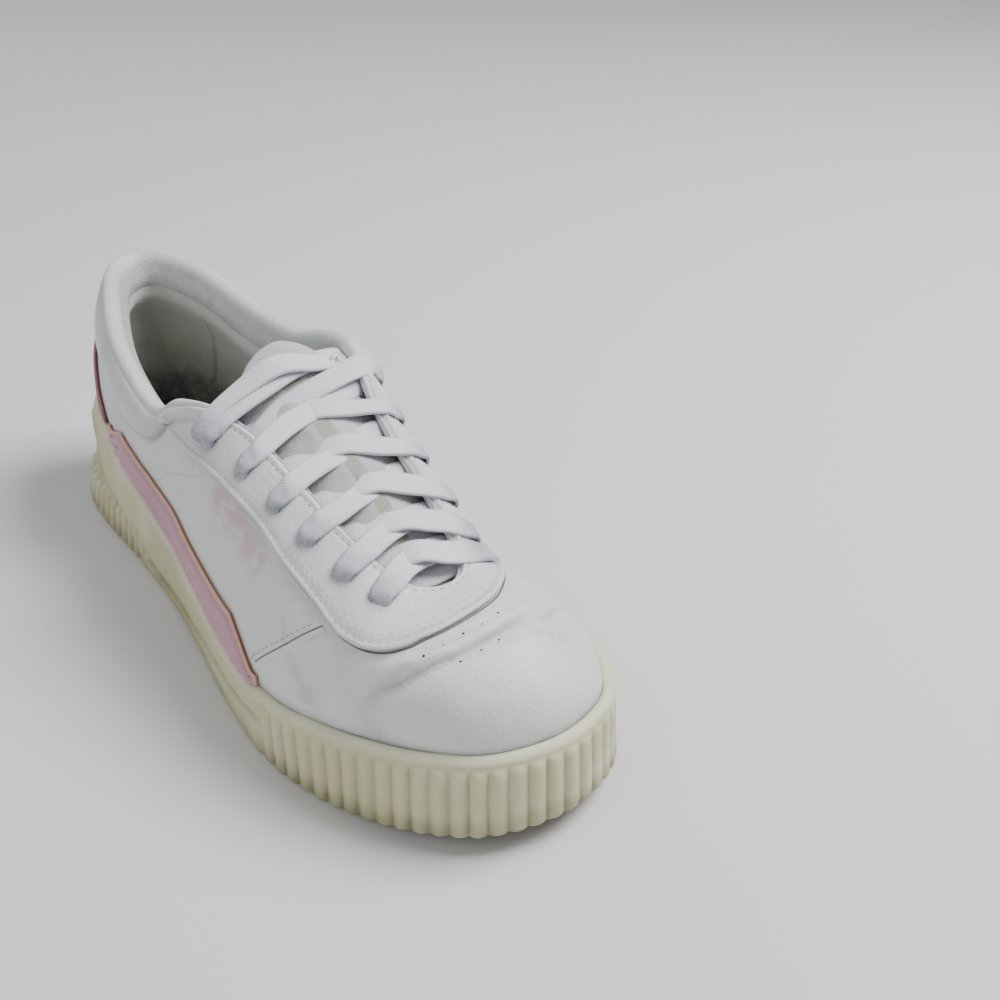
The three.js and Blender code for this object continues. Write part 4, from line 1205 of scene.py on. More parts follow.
@dataclass
class Upper:
    """The leather shell with its padded collar, seams and creases."""

    last: Last
    shop: Workshop
    collar_roll: float = 6.2
    # Station from the heel, then how far below the edge the padded collar is sewn down.
    seam_depths: Table = (
        (0.0, 26.0), (1.2, 26.0), (2.5, 27.0), (3.0, 24.5), (3.45, 17.0), (3.9, 9.5), (4.6, 6.0), (5.4, 4.2),
        (12.0, 4.2),
    )
    stain_line: Table = ((32.9, 149.3), (33.4, 157.7), (34.0, 166.0), (35.1, 178.3))
    lining_reach: float = 5.7
    columns: int = 400
    outer_rows: int = 130
    lip_rows: int = 12
    inner_rows: int = 40

    def thickness(self, station: Array, level: Array) -> Array:
        """The wall's thickness, which swells to a roll under the collar's edge."""
        roll = smooth(level, 0.42, 0.86) * (1 - 0.28 * smooth(level, 0.93, 1.0))
        return LEATHER + self.collar_roll * self.last.pad(station) * roll

    def _swell(self, station: Array, level: Array, height: float) -> Array:
        """How far the collar's padding swells inwards below its edge."""
        share = np.clip(self.last.edge_distance(station, level) / 14.0, 0, 1)
        return height * self.last.pad(station) * np.sin(math.pi * share)

    def collar_seam(self, station: Array) -> Array:
        """How far below the opening's edge the padded collar is sewn down."""
        turned = from_heel(station)
        stations, reach = np.array(self.seam_depths).T
        window = np.linspace(-0.35, 0.35, 9)
        return np.interp(np.abs(turned[..., None] + window), stations, reach).mean(-1)

    @staticmethod
    def collared(station: Array) -> Array:
        """Where the collar's roll shows, which is everywhere but round the throat."""
        return smooth(from_heel(station), 6.6, 5.4)

    def relief(self, station: Array, level: Array) -> Array:
        """How far the outside stands off the last, with its roll, creases and seams."""
        points = self.last.point(station, level)
        away = self.last.edge_distance(station, level)
        seam = self.collar_seam(station)
        roll = mix(1.2, 2.1, self.last.pad(station)) * np.sin(math.pi * np.clip(away / seam, 0, 1)) ** 0.55
        groove = -1.1 * bump_curve(away - seam, 1.0)
        total = (roll + groove) * self.collared(station)
        flat = points.reshape(-1, 3)
        press = np.zeros(len(flat))
        for crease in CREASES:
            press += crease.press(flat)
        top = smooth(flat[:, 2], 27.0, 33.0)
        soft = wander(flat, 48.0, 3) * 0.35 + wander(flat, 17.0, 4) * 0.16
        puckers = 0.28 * bump_curve(away.reshape(-1) - 24.5, 3.0) * np.sin(flat[:, 1] * 0.9 + flat[:, 0] * 0.5)
        total = total + (press * top + puckers * top * (flat[:, 1] > 190)).reshape(total.shape)
        total = total + soft.reshape(total.shape) * smooth(level, 0.02, 0.2) * smooth(away, 0.0, 8.0)
        return total

    def outside(self, station: Array, level: Array, lifted: Array | float) -> Array:
        """Points over the outside of the upper."""
        station, level = np.broadcast_arrays(np.asarray(station, float), np.asarray(level, float))
        return self.last.off(station, level, self.relief(station, level) + lifted)

    def _masks(self, station: Array, level: Array, inner: Array) -> dict[str, Array]:
        """Dirt, painted shade and dye on the leather.

        Args:
            station: Stations round the last.
            level: Levels.
            inner: Whether each place is on the inside.

        Returns:
            The masks by name.
        """
        points = self.last.point(station, level)
        away = self.last.edge_distance(station, level)
        low = 0.55 * bump_curve(np.clip(level, 0, 1) * 60.0, 2.2)
        # Painted shade in the groove of the collar's seam.
        seam = 0.4 * bump_curve(away - self.collar_seam(station), 1.0) * self.collared(station)
        # Painted shade with some dirt along the bottoms of the creases.
        troughs = sum(np.clip(c.grime_and_shade(points), 0, 0.75) for c in CREASES) * (points[:, 2] > 30)
        grime_and_shade = 0.1 * smooth(wander(points, 40.0, 12), 0.1, 0.8)
        collar = 0.2 * self.last.pad(station) * smooth(away, 12.0, 4.0)
        distance, _, _ = line_distance(points[:, :2], self.stain_line)
        patchy = smooth(wander(points, 4.5, 33), -0.9, 0.3)
        stain = 1.0 * bump_curve(distance, 2.7) * patchy * (points[:, 2] > 50) * (points[:, 0] > 0)
        return {"soil": np.where(inner > 0, 0.5, low + seam + troughs + grime_and_shade + collar),
                "accent": np.where(inner > 0, 0.0, 0.95 * stain)}

    def _ring(self, v: Array) -> tuple[Array, Array]:
        """Level and depth into the wall for shares round the closed section.

        Args:
            v: Shares round the section.

        Returns:
            Levels, and how far over the lip each place is.
        """
        total = self.outer_rows + self.lip_rows + self.inner_rows
        row = np.mod(v, 1.0) * total
        outer = np.interp(row, [0, 8, self.outer_rows], [-1.0, -0.02, 1.0])
        lip = np.clip((row - self.outer_rows) / self.lip_rows, 0, 1)
        back = np.interp(row, [self.outer_rows + self.lip_rows, total], [1.0, -1.0])
        level = np.where(row <= self.outer_rows, outer, np.where(lip < 1, 1.0, back))
        return level, lip

    def build(self) -> Object:
        """Models the shell as one closed hollow piece."""
        def place(u: Array, v: Array) -> Array:
            """Places round the shoe and round the closed section."""
            station = u * STATIONS
            level, lip = self._ring(v)
            wall = self.thickness(station, level)
            outer = self.outside(station, level, 0.0)
            normal = self.last.normal(station, level)
            deep = self.last.off(station, level, -wall)
            up = np.array([0.0, 0.0, 1.0])
            share = (1 - np.cos(math.pi * lip)) / 2
            crown = outer + (deep - outer) * share[:, None] + up * (0.5 * wall * np.sin(math.pi * lip))[:, None]
            inside = (lip >= 1) & (np.mod(v, 1.0) > 0)
            points = np.where(inside[:, None], deep, np.where((lip > 0)[:, None], crown, outer))
            return points - normal * (self._swell(station, level, 1.2) * inside)[:, None]

        def masks(u: Array, v: Array) -> dict[str, Array]:
            """Dirt, painted shade and dye at those places."""
            level, lip = self._ring(v)
            return self._masks(u * STATIONS, level, (lip >= 1) & (np.mod(v, 1.0) > 0))

        rows = self.outer_rows + self.lip_rows + self.inner_rows
        return self.shop.grid("upper_leather", self.columns, rows, place, closed=True,
                              size=(600.0, 200.0), masks=masks)

    @staticmethod
    def lining_seam(away: Array) -> Array:
        """The station of the lining's upright seam on the medial side, below the opening's edge."""
        return -2.04 + 0.026 * (np.clip(away, 7.3, 40.0) - 7.3)

    def lining(self) -> Object:
        """Models the textile inside the heel and collar, hung just off the wall."""
        def place(u: Array, v: Array) -> Array:
            """Places over the collar's inside."""
            station = mix(-self.lining_reach, self.lining_reach, u)
            top = self.last.from_edge(station, 7.0)
            level = mix(-0.85, top, v)
            below = self.last.edge_distance(station, level)
            taper = 2.6 * self.last.pad(station) * smooth(below, 7.0, 15.0) * smooth(below, 48.0, 22.0)
            wall = self.thickness(station, level) + 0.25 + taper
            points = self.last.off(station, level, -wall - self._swell(station, level, 1.1))
            ripple = wander(points, 11.0, 41) * 0.3 + wander(points, 30.0, 42) * 0.4
            ripple = ripple + 0.5 * bump_curve((station - self.lining_seam(below)) * 22.0 - 1.5, 1.3)
            stand_off = (0.45 + np.abs(ripple) * 0.6) * smooth(v, 1.0, 0.8) - 0.5 * smooth(v, 0.9, 1.0)
            return points - self.last.normal(station, level) * stand_off[:, None]

        def masks(u: Array, v: Array) -> dict[str, Array]:
            """Painted shade that darkens the lining towards the sock, a dark seam, rubbed paler wear near the heel on
            the medial side, and a paler top.
            """
            station = mix(-self.lining_reach, self.lining_reach, u)
            away = (1 - v) * 45.0 + 7.0
            seam = 0.45 * bump_curve((station - self.lining_seam(away)) * 22.0, 0.8)
            rubbed = 0.8 * smooth(station, -1.9, -2.6) * smooth(v, 0.2, 0.5)
            # Darker towards the bottom, down to the sock: painted shade inside the shoe.
            return {"soil": np.clip(0.03 + 0.9 * smooth(v, 0.72, 0.3) + seam * smooth(v, 0.97, 0.85), 0, 1),
                    "accent": np.maximum(smooth(v, 0.6, 0.95), rubbed)}

        obj = self.shop.grid("collar_lining", 260, 70, place, size=(330.0, 60.0), masks=masks)
        self.shop.facing(obj, (0, 0, 1))
        return self.shop.dress(obj, LINING, "tongue_fabric")


@dataclass
class Overlays:
    """The leather parts that are sewn onto the upper."""

    last: Last
    upper: Upper
    shop: Workshop
    tab_reach: Row = (1.85, 1.15)
    tab_top: float = 27.3
    hole_radius: float = 2.1
    thick: float = 1.5
    sunk: float = 0.25

    def _edge_height(self, away: Array, worn: float) -> Array:
        """Height of an overlay near its border, which is rounded and slightly raised by wear."""
        rounded = 0.45 * np.clip(1 - away / 0.45, 0, 1) ** 2
        return self.thick - rounded + worn * bump_curve(away - 1.1, 0.6) - 0.12 * bump_curve(away - 2.4, 0.7)

    @staticmethod
    def border(station: Array) -> Array:
        """How far from the opening's edge the band round the throat reaches."""
        stations, reach = np.array(EYESTAY_BORDER).T
        window = np.linspace(-0.3, 0.3, 25)
        weight = np.cos(window / 0.3 * math.pi / 2) ** 2
        spread = np.interp(np.asarray(station)[..., None] + window, stations, reach)
        return (spread * weight).sum(-1) / weight.sum()

    @staticmethod
    def _warp(share: Array) -> Array:
        """Crowds the rows towards both borders."""
        return share - 0.13 * np.sin(2 * math.pi * share)

    def eyestay_place(self, u: Array, v: Array) -> tuple[Array, Array, Array]:
        """Stations, levels and distances from the border of the band round the throat.

        Args:
            u: Shares along the band.
            v: Shares from its border to the opening.

        Returns:
            Stations, levels and distances in millimetres.
        """
        start, end = EYESTAY_ENDS
        station = mix(start, end, u)
        border = self.border(station)
        collar = smooth(np.minimum(station - start, end - station), 0, 1)
        top = mix(2.0, 0.0, collar)
        away = mix(border, top, self._warp(v))
        level = self.last.from_edge(station, away)
        return station, level, np.minimum(border - away, away - top)

    def eyestay(self) -> Object:
        """Models the band with a thick worn border."""
        def place(u: Array, v: Array) -> Array:
            """Places over the band."""
            station, level, away = self.eyestay_place(u, v)
            ends = np.minimum(u, 1 - u) * 280.0
            height = self._edge_height(np.minimum(away, ends), 0.3)
            height = height - 2.1 * np.clip(1 - away / 1.4, 0, 1) ** 2 * (v > 0.5)
            return self.upper.outside(station, level, mix(ends * 0 + 0.05, height, smooth(ends, 0.0, 9.0)))

        def masks(u: Array, v: Array) -> dict[str, Array]:
            """Painted shadow at the border and in the dip inside it, and dirt with painted shade round the holes."""
            station, level, away = self.eyestay_place(u, v)
            outer = v < 0.5
            # A dark line of painted shadow right at the raised border, and weaker painted shade in the dip 2.4 mm
            # inside it.
            dark = (0.9 * bump_curve(away, 0.35) + 0.25 * bump_curve(away - 2.4, 0.8)) * outer
            points = self.last.point(station, level)
            for hole in (*LATERAL_HOLES, *MEDIAL_HOLES):
                centre = self.hole_centre(hole, 0.0)
                # Dirt and painted shade in a ring round each lace hole.
                dark = dark + 0.8 * bump_curve(np.linalg.norm(points - centre, axis=1) - 2.4, 1.6)
            return {"soil": np.clip(dark, 0, 1)}

        obj = self.shop.grid("eyestay_leather", 420, 44, place, size=(300.0, 18.0), masks=masks)
        self._close(obj, (0.0, 0.0, 1.0))
        return obj

    def hole_centre(self, station: float, distance: float) -> Array:
        """The middle of a lace hole, at a distance from the last."""
        level = self.last.from_edge(np.array([station]), np.array([HOLE_INSET]))
        return self.last.off(np.array([station]), level, np.array([distance]))[0]

    def punch(self, *objects: Object) -> None:
        """Cuts the lace holes through the pieces."""
        cutters = []
        for station in (*LATERAL_HOLES, *MEDIAL_HOLES):
            level = self.last.from_edge(np.array([station]), np.array([HOLE_INSET]))
            bpy.ops.mesh.primitive_cylinder_add(vertices=20, radius=self.hole_radius / 1000, depth=0.012)
            cutters.append(bpy.context.object)
            normal = self.last.normal(np.array([station]), level)[0]
            self.shop.stand(cutters[-1], self.hole_centre(station, 0.0), normal)
        cutter = self.shop.join("hole_cutter", cutters)
        for obj in objects:
            self.shop.cut(obj, cutter)
        bpy.data.objects.remove(cutter)

    def _close(self, obj: Object, outward: Sequence[float]) -> None:
        """Gives the sheet its thickness, down into the upper's surface."""
        self.shop.thicken(obj, outward, self.thick + self.sunk)
        bpy.ops.object.shade_smooth_by_angle(angle=math.radians(55))

    def panel(self, name: str, ends: tuple[float, float], side: int, node: str) -> Object:
        """Models a low straight-edged panel along the cup's rim.

        Args:
            name: Name of the piece.
            ends: Stations of its two ends.
            side: 1 for lateral, -1 for medial.
            node: The solid that it replaces.

        Returns:
            The panel.
        """
        def spread(u: Array, v: Array) -> tuple[Array, Array, Array]:
            """Stations, levels and distances below the panel's top."""
            station = mix(ends[0], ends[1], u)
            rise = PANEL_HEIGHT * np.clip(np.minimum(u, 1 - u) / 0.12, 0.2, 1.0)
            away = mix(u * 0 + 0.3, 1 + rise, self._warp(v))
            return station, self.last.from_rim(station, away), 1 + rise - away

        def place(u: Array, v: Array) -> Array:
            """Places over the quilted panel."""
            station, level, away = spread(u, v)
            away = np.minimum(away, np.minimum(u, 1 - u) * 160.0)
            puff = 1.3 * np.abs(np.sin(math.pi * (away - QUILT_START) / QUILT_PITCH)) ** 0.7 * (away > QUILT_START)
            seated = smooth(v, 0.0, 0.16)
            height = self._edge_height(away, 0.1) * mix(0.35, 1.0, seated) + puff * smooth(away, 0, 3) * seated
            return self.upper.outside(station, level, height)

        def masks(u: Array, v: Array) -> dict[str, Array]:
            """Painted shade in the channels, darker towards the rim, and a raw tan border."""
            _, _, away = spread(u, v)
            away = np.minimum(away, np.minimum(u, 1 - u) * 160.0)
            # Painted shade in the quilt's channels between the puffs.
            channel = bump_curve(np.sin(math.pi * (away - QUILT_START) / QUILT_PITCH), 0.22) * (away > 1)
            return {"soil": 0.45 * smooth(v, 0.25, 0.0) + 0.3 * channel, "accent": 1 - smooth(away, 0.5, 1.1)}

        obj = self.shop.grid(name, 240, 36, place, size=(160.0, 16.0), masks=masks)
        self._close(obj, (side, 0.0, 0.3))
        return self.shop.dress(obj, PINK, "pink_leather", node)

    def heel_tab(self) -> Object:
        """Models the napped patch at the back of the heel, with frayed slanting sides."""
        def spread(u: Array, v: Array) -> tuple[Array, Array, Array]:
            """Stations, levels and distances from the patch's border."""
            reach = mix(self.tab_reach[0], self.tab_reach[1], v)
            station = mix(-reach, reach, self._warp(u))
            low = self.last.from_rim(station, 0.3)
            top = self.last.from_edge(station, self.tab_top)
            away = (0.5 - np.abs(self._warp(u) - 0.5)) * 60.0
            return station, mix(low, top, v), np.minimum(away, (1 - v) * 22.0)

        def place(u: Array, v: Array) -> Array:
            """Places over the patch."""
            station, level, away = spread(u, v)
            return self.upper.outside(station, level, self._edge_height(away, 0.1))

        def masks(u: Array, v: Array) -> dict[str, Array]:
            """Darker at the foot and a frayed border."""
            _, _, away = spread(u, v)
            return {"soil": 0.4 * smooth(v, 0.2, 0.0), "accent": 1 - smooth(away, 0.5, 1.6)}

        obj = self.shop.grid("heel_tab_suede", 90, 70, place, size=(60.0, 36.0), masks=masks)
        self._close(obj, (0.0, -1.0, 0.2))
        return self.shop.dress(obj, BURGUNDY, "burgundy_suede", "heel_tab")


@dataclass
class Tongue:
    """The padded tongue under the laces."""

    last: Last
    upper: Upper
    shop: Workshop
    thick: float = 4.0
    tuck: float = 11.0
    arch_height: float = 4.5
    top_rise: float = 6.0
    lateral_stations: Row = (10.6, 6.15)
    medial_stations: Row = (13.4, 17.85)
    toe_stations: Row = (11.1, 12.9)
    toe_end: float = -0.25
    top_end: float = 1.16

    def _under(self, station: Array, away: float) -> Array:
        """Places under the wall of the upper, with room for a lace between."""
        level = self.last.from_edge(station, away)
        return self.last.off(station, level, -self.upper.thickness(station, level) - 2.2)

    def rows(self, along: Array, rise: Array) -> Array:
        """Eight columns of points across the tongue for each share of the way up.

        Args:
            along: Shares of the way up.
            rise: How far the middle stands up more.

        Returns:
            Rows of eight points.
        """
        lateral = mix(self.lateral_stations[0], self.lateral_stations[1], along)
        medial = mix(self.medial_stations[0], self.medial_stations[1], along)
        left, right = self._under(lateral, 0.0), self._under(medial, 0.0)
        height = (self.arch_height + 1.4) * smooth(along, 0, 0.3)
        columns = [self._under(lateral, self.tuck), left]
        for share in (0.2, 0.4, 0.6, 0.8):
            arch = 4 * share * (1 - share)
            point = mix(left, right, share)
            point = point + np.array([0.0, 0.0, 1.0]) * (arch * height)[:, None]
            columns.append(point + np.array([0.0, -0.8, 0.6]) * (arch * rise)[:, None])
        columns += [right, self._under(medial, self.tuck)]
        return np.stack(columns, 1)

    def surface(self, along: Array, across: Array) -> Array:
        """Places on the top of the tongue, along it from the toe and across it from the lateral side.

        Args:
            along: Shares along it, past 0 and 1 at its ends.
            across: Shares across it.

        Returns:
            Places in millimetres.
        """
        table_along = np.array([self.toe_end, -0.08, *np.linspace(0, 1, 9), 1.08, self.top_end])
        toe = []
        for away in (8.0, 1.0):
            station = mix(self.toe_stations[0], self.toe_stations[1], np.linspace(0, 1, 8))
            toe.append(self._under(station, away))
        middle = self.rows(np.linspace(0, 1, 9), np.zeros(9))
        top = self.rows(np.array([1.0, 1.0]), np.array([self.top_rise * 0.7, self.top_rise * 2.0]))
        grid = np.concatenate([np.stack(toe), middle, top])
        place = np.interp(along, table_along, np.arange(len(table_along)))
        return self._spline(grid, place, across * 7)

    @staticmethod
    def _spline(grid: Array, row: Array, column: Array) -> Array:
        """Reads a grid of points smoothly in both directions.

        Args:
            grid: The points.
            row: Places along the rows.
            column: Places along the columns.

        Returns:
            The points there.
        """
        def weights(value: Array, count: int) -> tuple[Array, list[Array]]:
            """The first row to read and the four rows' weights."""
            start = np.clip(np.floor(value).astype(int), 0, count - 2)
            s = value - start
            near = [-0.5 * s + s**2 - 0.5 * s**3, 1 - 2.5 * s**2 + 1.5 * s**3,
                    0.5 * s + 2 * s**2 - 1.5 * s**3, -0.5 * s**2 + 0.5 * s**3]
            return start, near

        row_start, row_weights = weights(row, grid.shape[0])
        column_start, column_weights = weights(column, grid.shape[1])
        total = np.zeros((len(row), 3))
        for i, row_weight in enumerate(row_weights):
            for j, column_weight in enumerate(column_weights):
                r = np.clip(row_start + i - 1, 0, grid.shape[0] - 1)
                c = np.clip(column_start + j - 1, 0, grid.shape[1] - 1)
                total += grid[r, c] * (row_weight * column_weight)[:, None]
        return total

    def build(self) -> Object:
        """Models the tongue with soft folds and a rolled top border."""
        def place(u: Array, v: Array) -> Array:
            """Places over the tongue."""
            top = self.top_end - 0.2 * smooth(u, 0.74, 0.9) - 0.2 * smooth(u, 0.26, 0.1)
            along = mix(self.toe_end, top, v)
            points = self.surface(along, u)
            edge = np.clip((top - along) / 0.07, 0, 1)
            points[:, 2] -= 1.8 * (1 - np.sqrt(np.clip(1 - (1 - edge) ** 2, 0, 1)))
            inside = smooth(np.minimum(u, 1 - u), 0.1, 0.25)
            points[:, 2] += inside * (0.35 * wander(points, 13.0, 51) + 0.5 * wander(points, 34.0, 52))
            points[:, 2] -= inside * 0.8 * bump_curve((along - 1.06) * 60.0, 1.6)
            points[:, 2] -= 2.6 * bump_curve(u - 0.77, 0.09) * bump_curve(along - 1.02, 0.14)
            return points

        def masks(u: Array, v: Array) -> dict[str, Array]:
            """Dirt, shade and the label's strip."""
            along = mix(self.toe_end, self.top_end, v)
            points = self.surface(along, u)
            shaded = 0.35 * smooth(u, 0.46, 0.36) * smooth(along, 0.1, 0.3) + 0.4 * smooth(u, 0.76, 0.84)
            strip = smooth(np.abs(u - 0.5), 0.07, 0.05) * smooth(along, 0.08, 0.12) * smooth(along, 1.02, 0.98)
            clouds = 0.3 * smooth(wander(points, 16.0, 53), 0.0, 0.8)
            return {"soil": np.clip((0.12 + clouds + shaded) * smooth(along, 1.12, 0.9), 0, 1),
                    "accent": strip}

        obj = self.shop.grid("tongue_padded", 110, 200, place, size=(60.0, 120.0), masks=masks)
        self.shop.thicken(obj, (0, 0, 1), self.thick)
        self.shop.dress(obj, TONGUE_CLOTH, "tongue_fabric", "tongue")
        return obj


@dataclass
class Laces:
    """The flat lace, criss-crossed through the holes."""

    last: Last
    overlays: Overlays
    shop: Workshop
    width: float = 8.0
    thick: float = 0.95
    over_height: float = 2.0
    under_depth: float = 2.85

    def _over(self, station: float, away: float, height: float) -> tuple[Array, Array]:
        """A place over the eyestay, with the direction that faces up there."""
        one = np.array([station])
        level = self.last.from_edge(one, np.array([away]))
        return self.last.off(one, level, np.array([height]))[0], self.last.normal(one, level)[0]

    def _below(self, station: float, away: float, drop: float) -> tuple[Array, Array]:
        """A place under the wall of the upper, with the direction that faces up there."""
        level = self.last.from_edge(np.array([station]), np.array([away]))
        depth = float(self.overlays.upper.thickness(np.array([station]), level)[0])
        return self._over(station, away, -depth - drop)

    def _path(self, start: float, end: float, crown: float, lean: float) -> list[tuple[Array, Array, float]]:
        """Places, upward directions and widths from a hole up, across the throat and under the far edge.

        Args:
            start: Station of the hole.
            end: Station on the far side.
            crown: Height of the arch.
            lean: Height added in the middle.

        Returns:
            One row for each step.
        """
        steps = []
        for away, height, width in ((HOLE_INSET + 0.3, -self.under_depth - 1.0, 4.0), (HOLE_INSET + 0.9, -0.8, 4.8),
                                    (HOLE_INSET + 1.5, 1.3, 5.6), (HOLE_INSET - 0.6, self.over_height + 0.9, 6.4),
                                    (HOLE_INSET - 4.0, self.over_height + 0.35, 7.3),
                                    (1.5, self.over_height + 0.2, 7.6)):
            steps.append((*self._over(start, away, height), width))
        lip, lip_up = self._over(start, 0.0, self.over_height + 0.5)
        depth = float(self.overlays.upper.thickness(np.array([end]), np.array([1.0]))[0])
        far, far_up = self._over(end, 0.0, -depth - 0.9)
        for share in (0.22, 0.5, 0.78):
            spot = mix(lip, far, share)
            up = mix(lip_up, far_up, share) + np.array([0.0, 0.0, 0.4])
            arch = 4 * share * (1 - share)
            rise = arch * crown + lean * bump_curve(np.array(share - 0.5), 0.2)
            steps.append((spot + np.array([0.0, 0.0, 1.0]) * float(rise), up / np.linalg.norm(up), 8.0))
        for away, drop in ((0.6, 0.9), (4.0, 0.95), (7.5, 1.0)):
            steps.append((*self._below(end, away, drop), 7.0))
        return steps

    def _bar(self) -> list[tuple[Array, Array, float]]:
        """The path of the lace's middle, which runs under the edges between the two lowest holes."""
        low, high = LATERAL_HOLES[-1], MEDIAL_HOLES[-1]
        spots = ((low, HOLE_INSET), (low, 4.0), (low + 0.1, 0.6), (high - 0.1, 0.6), (high, 4.0), (high, HOLE_INSET))
        return [(*self._below(station, away, 0.9), 6.4) for station, away in spots]

    def _strand(self, name: str, path: list[tuple[Array, Array, float]], seed: int) -> Object:
        """Models one flat ribbon along a path.

        Args:
            name: Name of the strand.
            path: Its places, upward directions and widths.
            seed: Shifts its small waves.

        Returns:
            The strand.
        """
        places = np.array([step[0] for step in path])
        ups = np.array([step[1] for step in path])
        widths = np.array([step[2] for step in path])
        gone = run_length(places)
        length = float(gone[-1])

        def read(table: Array, where: Array) -> Array:
            """A smooth curve through the table at distances along the path."""
            place = np.interp(where, gone, np.arange(len(gone)))
            start = np.clip(place.astype(int), 0, len(gone) - 2)
            s = place - start
            if table.ndim > 1:
                s = s[:, None]
            a, b, c, d = (table[np.clip(start + k, 0, len(gone) - 1)] for k in (-1, 0, 1, 2))
            return curve(a, b, c, d, s)

        def place(u: Array, v: Array) -> Array:
            """Places along and across the ribbon."""
            where = u * length
            centre = read(places, where)
            way = read(places, np.minimum(where + 0.4, length)) - read(places, np.maximum(where - 0.4, 0))
            way /= np.linalg.norm(way, axis=1)[:, None]
            up = read(ups, where)
            side = np.cross(way, up)
            side /= np.linalg.norm(side, axis=1)[:, None]
            up = np.cross(side, way)
            width = np.interp(where, gone, widths)
            across = 2 * v - 1
            fold = (1 - width / self.width) * 1.6
            curl = -0.25 * across**6 - fold * across**2 + 0.4 * np.sin(where * 0.17 + seed) * across
            curl += 0.12 * np.sin(where * 0.9 + across * 2.0 + seed) * smooth(where, 22.0, 10.0)
            sway = 0.8 * np.sin(where * 0.12 + seed * 1.7) * smooth(where, 12, 20) * smooth(length - where, 12, 20)
            return centre + side * (across * width / 2 + sway)[:, None] + up * (curl + self.thick / 2)[:, None]

        def masks(u: Array, v: Array) -> dict[str, Array]:
            """Grey ends near the holes, dirt with painted shade, and painted shade along the rolled edges."""
            where = u * length
            # Dirt and painted shade at the ends by the holes; painted shade along both edges.
            return {"soil": np.clip(0.8 * smooth(where, 19.0, 7.0) + 0.5 * smooth(length - where, 13.0, 6.0)
                                    + 0.18 * bump_curve(np.abs(2 * v - 1) - 1, 0.15), 0, 1), "accent": u * 0 + 0.3}

        obj = self.shop.grid(name, max(40, int(length * 1.4)), 10, place, size=(length, self.width), masks=masks)
        self.shop.thicken(obj, (0, 0, 1), self.thick)
        return obj

    def build(self) -> Object:
        """Models every strand and joins them."""
        paths = []
        for rung in range(1, len(LATERAL_HOLES)):
            paths.append((self._path(LATERAL_HOLES[rung], MEDIAL_HOLES[rung - 1] - 0.3, 1.3, -0.4), rung))
            paths.append((self._path(MEDIAL_HOLES[rung], LATERAL_HOLES[rung - 1] + 0.3, 1.8, 1.9), rung + 7))
        paths.append((self._path(LATERAL_HOLES[0], 18.1, 3.2, 1.2), 17))
        paths.append((self._path(MEDIAL_HOLES[0], 6.9, 3.0, 0.2), 19))
        paths.append((self._path(LATERAL_HOLES[0] - 0.25, 17.85, 4.4, 2.6), 23))
        paths.append((self._bar(), 29))
        obj = self.shop.join("laces_flat", [self._strand(f"lace_{seed}", path, seed) for path, seed in paths])
        return self.shop.dress(obj, LACE, "lace_fabric", "laces")


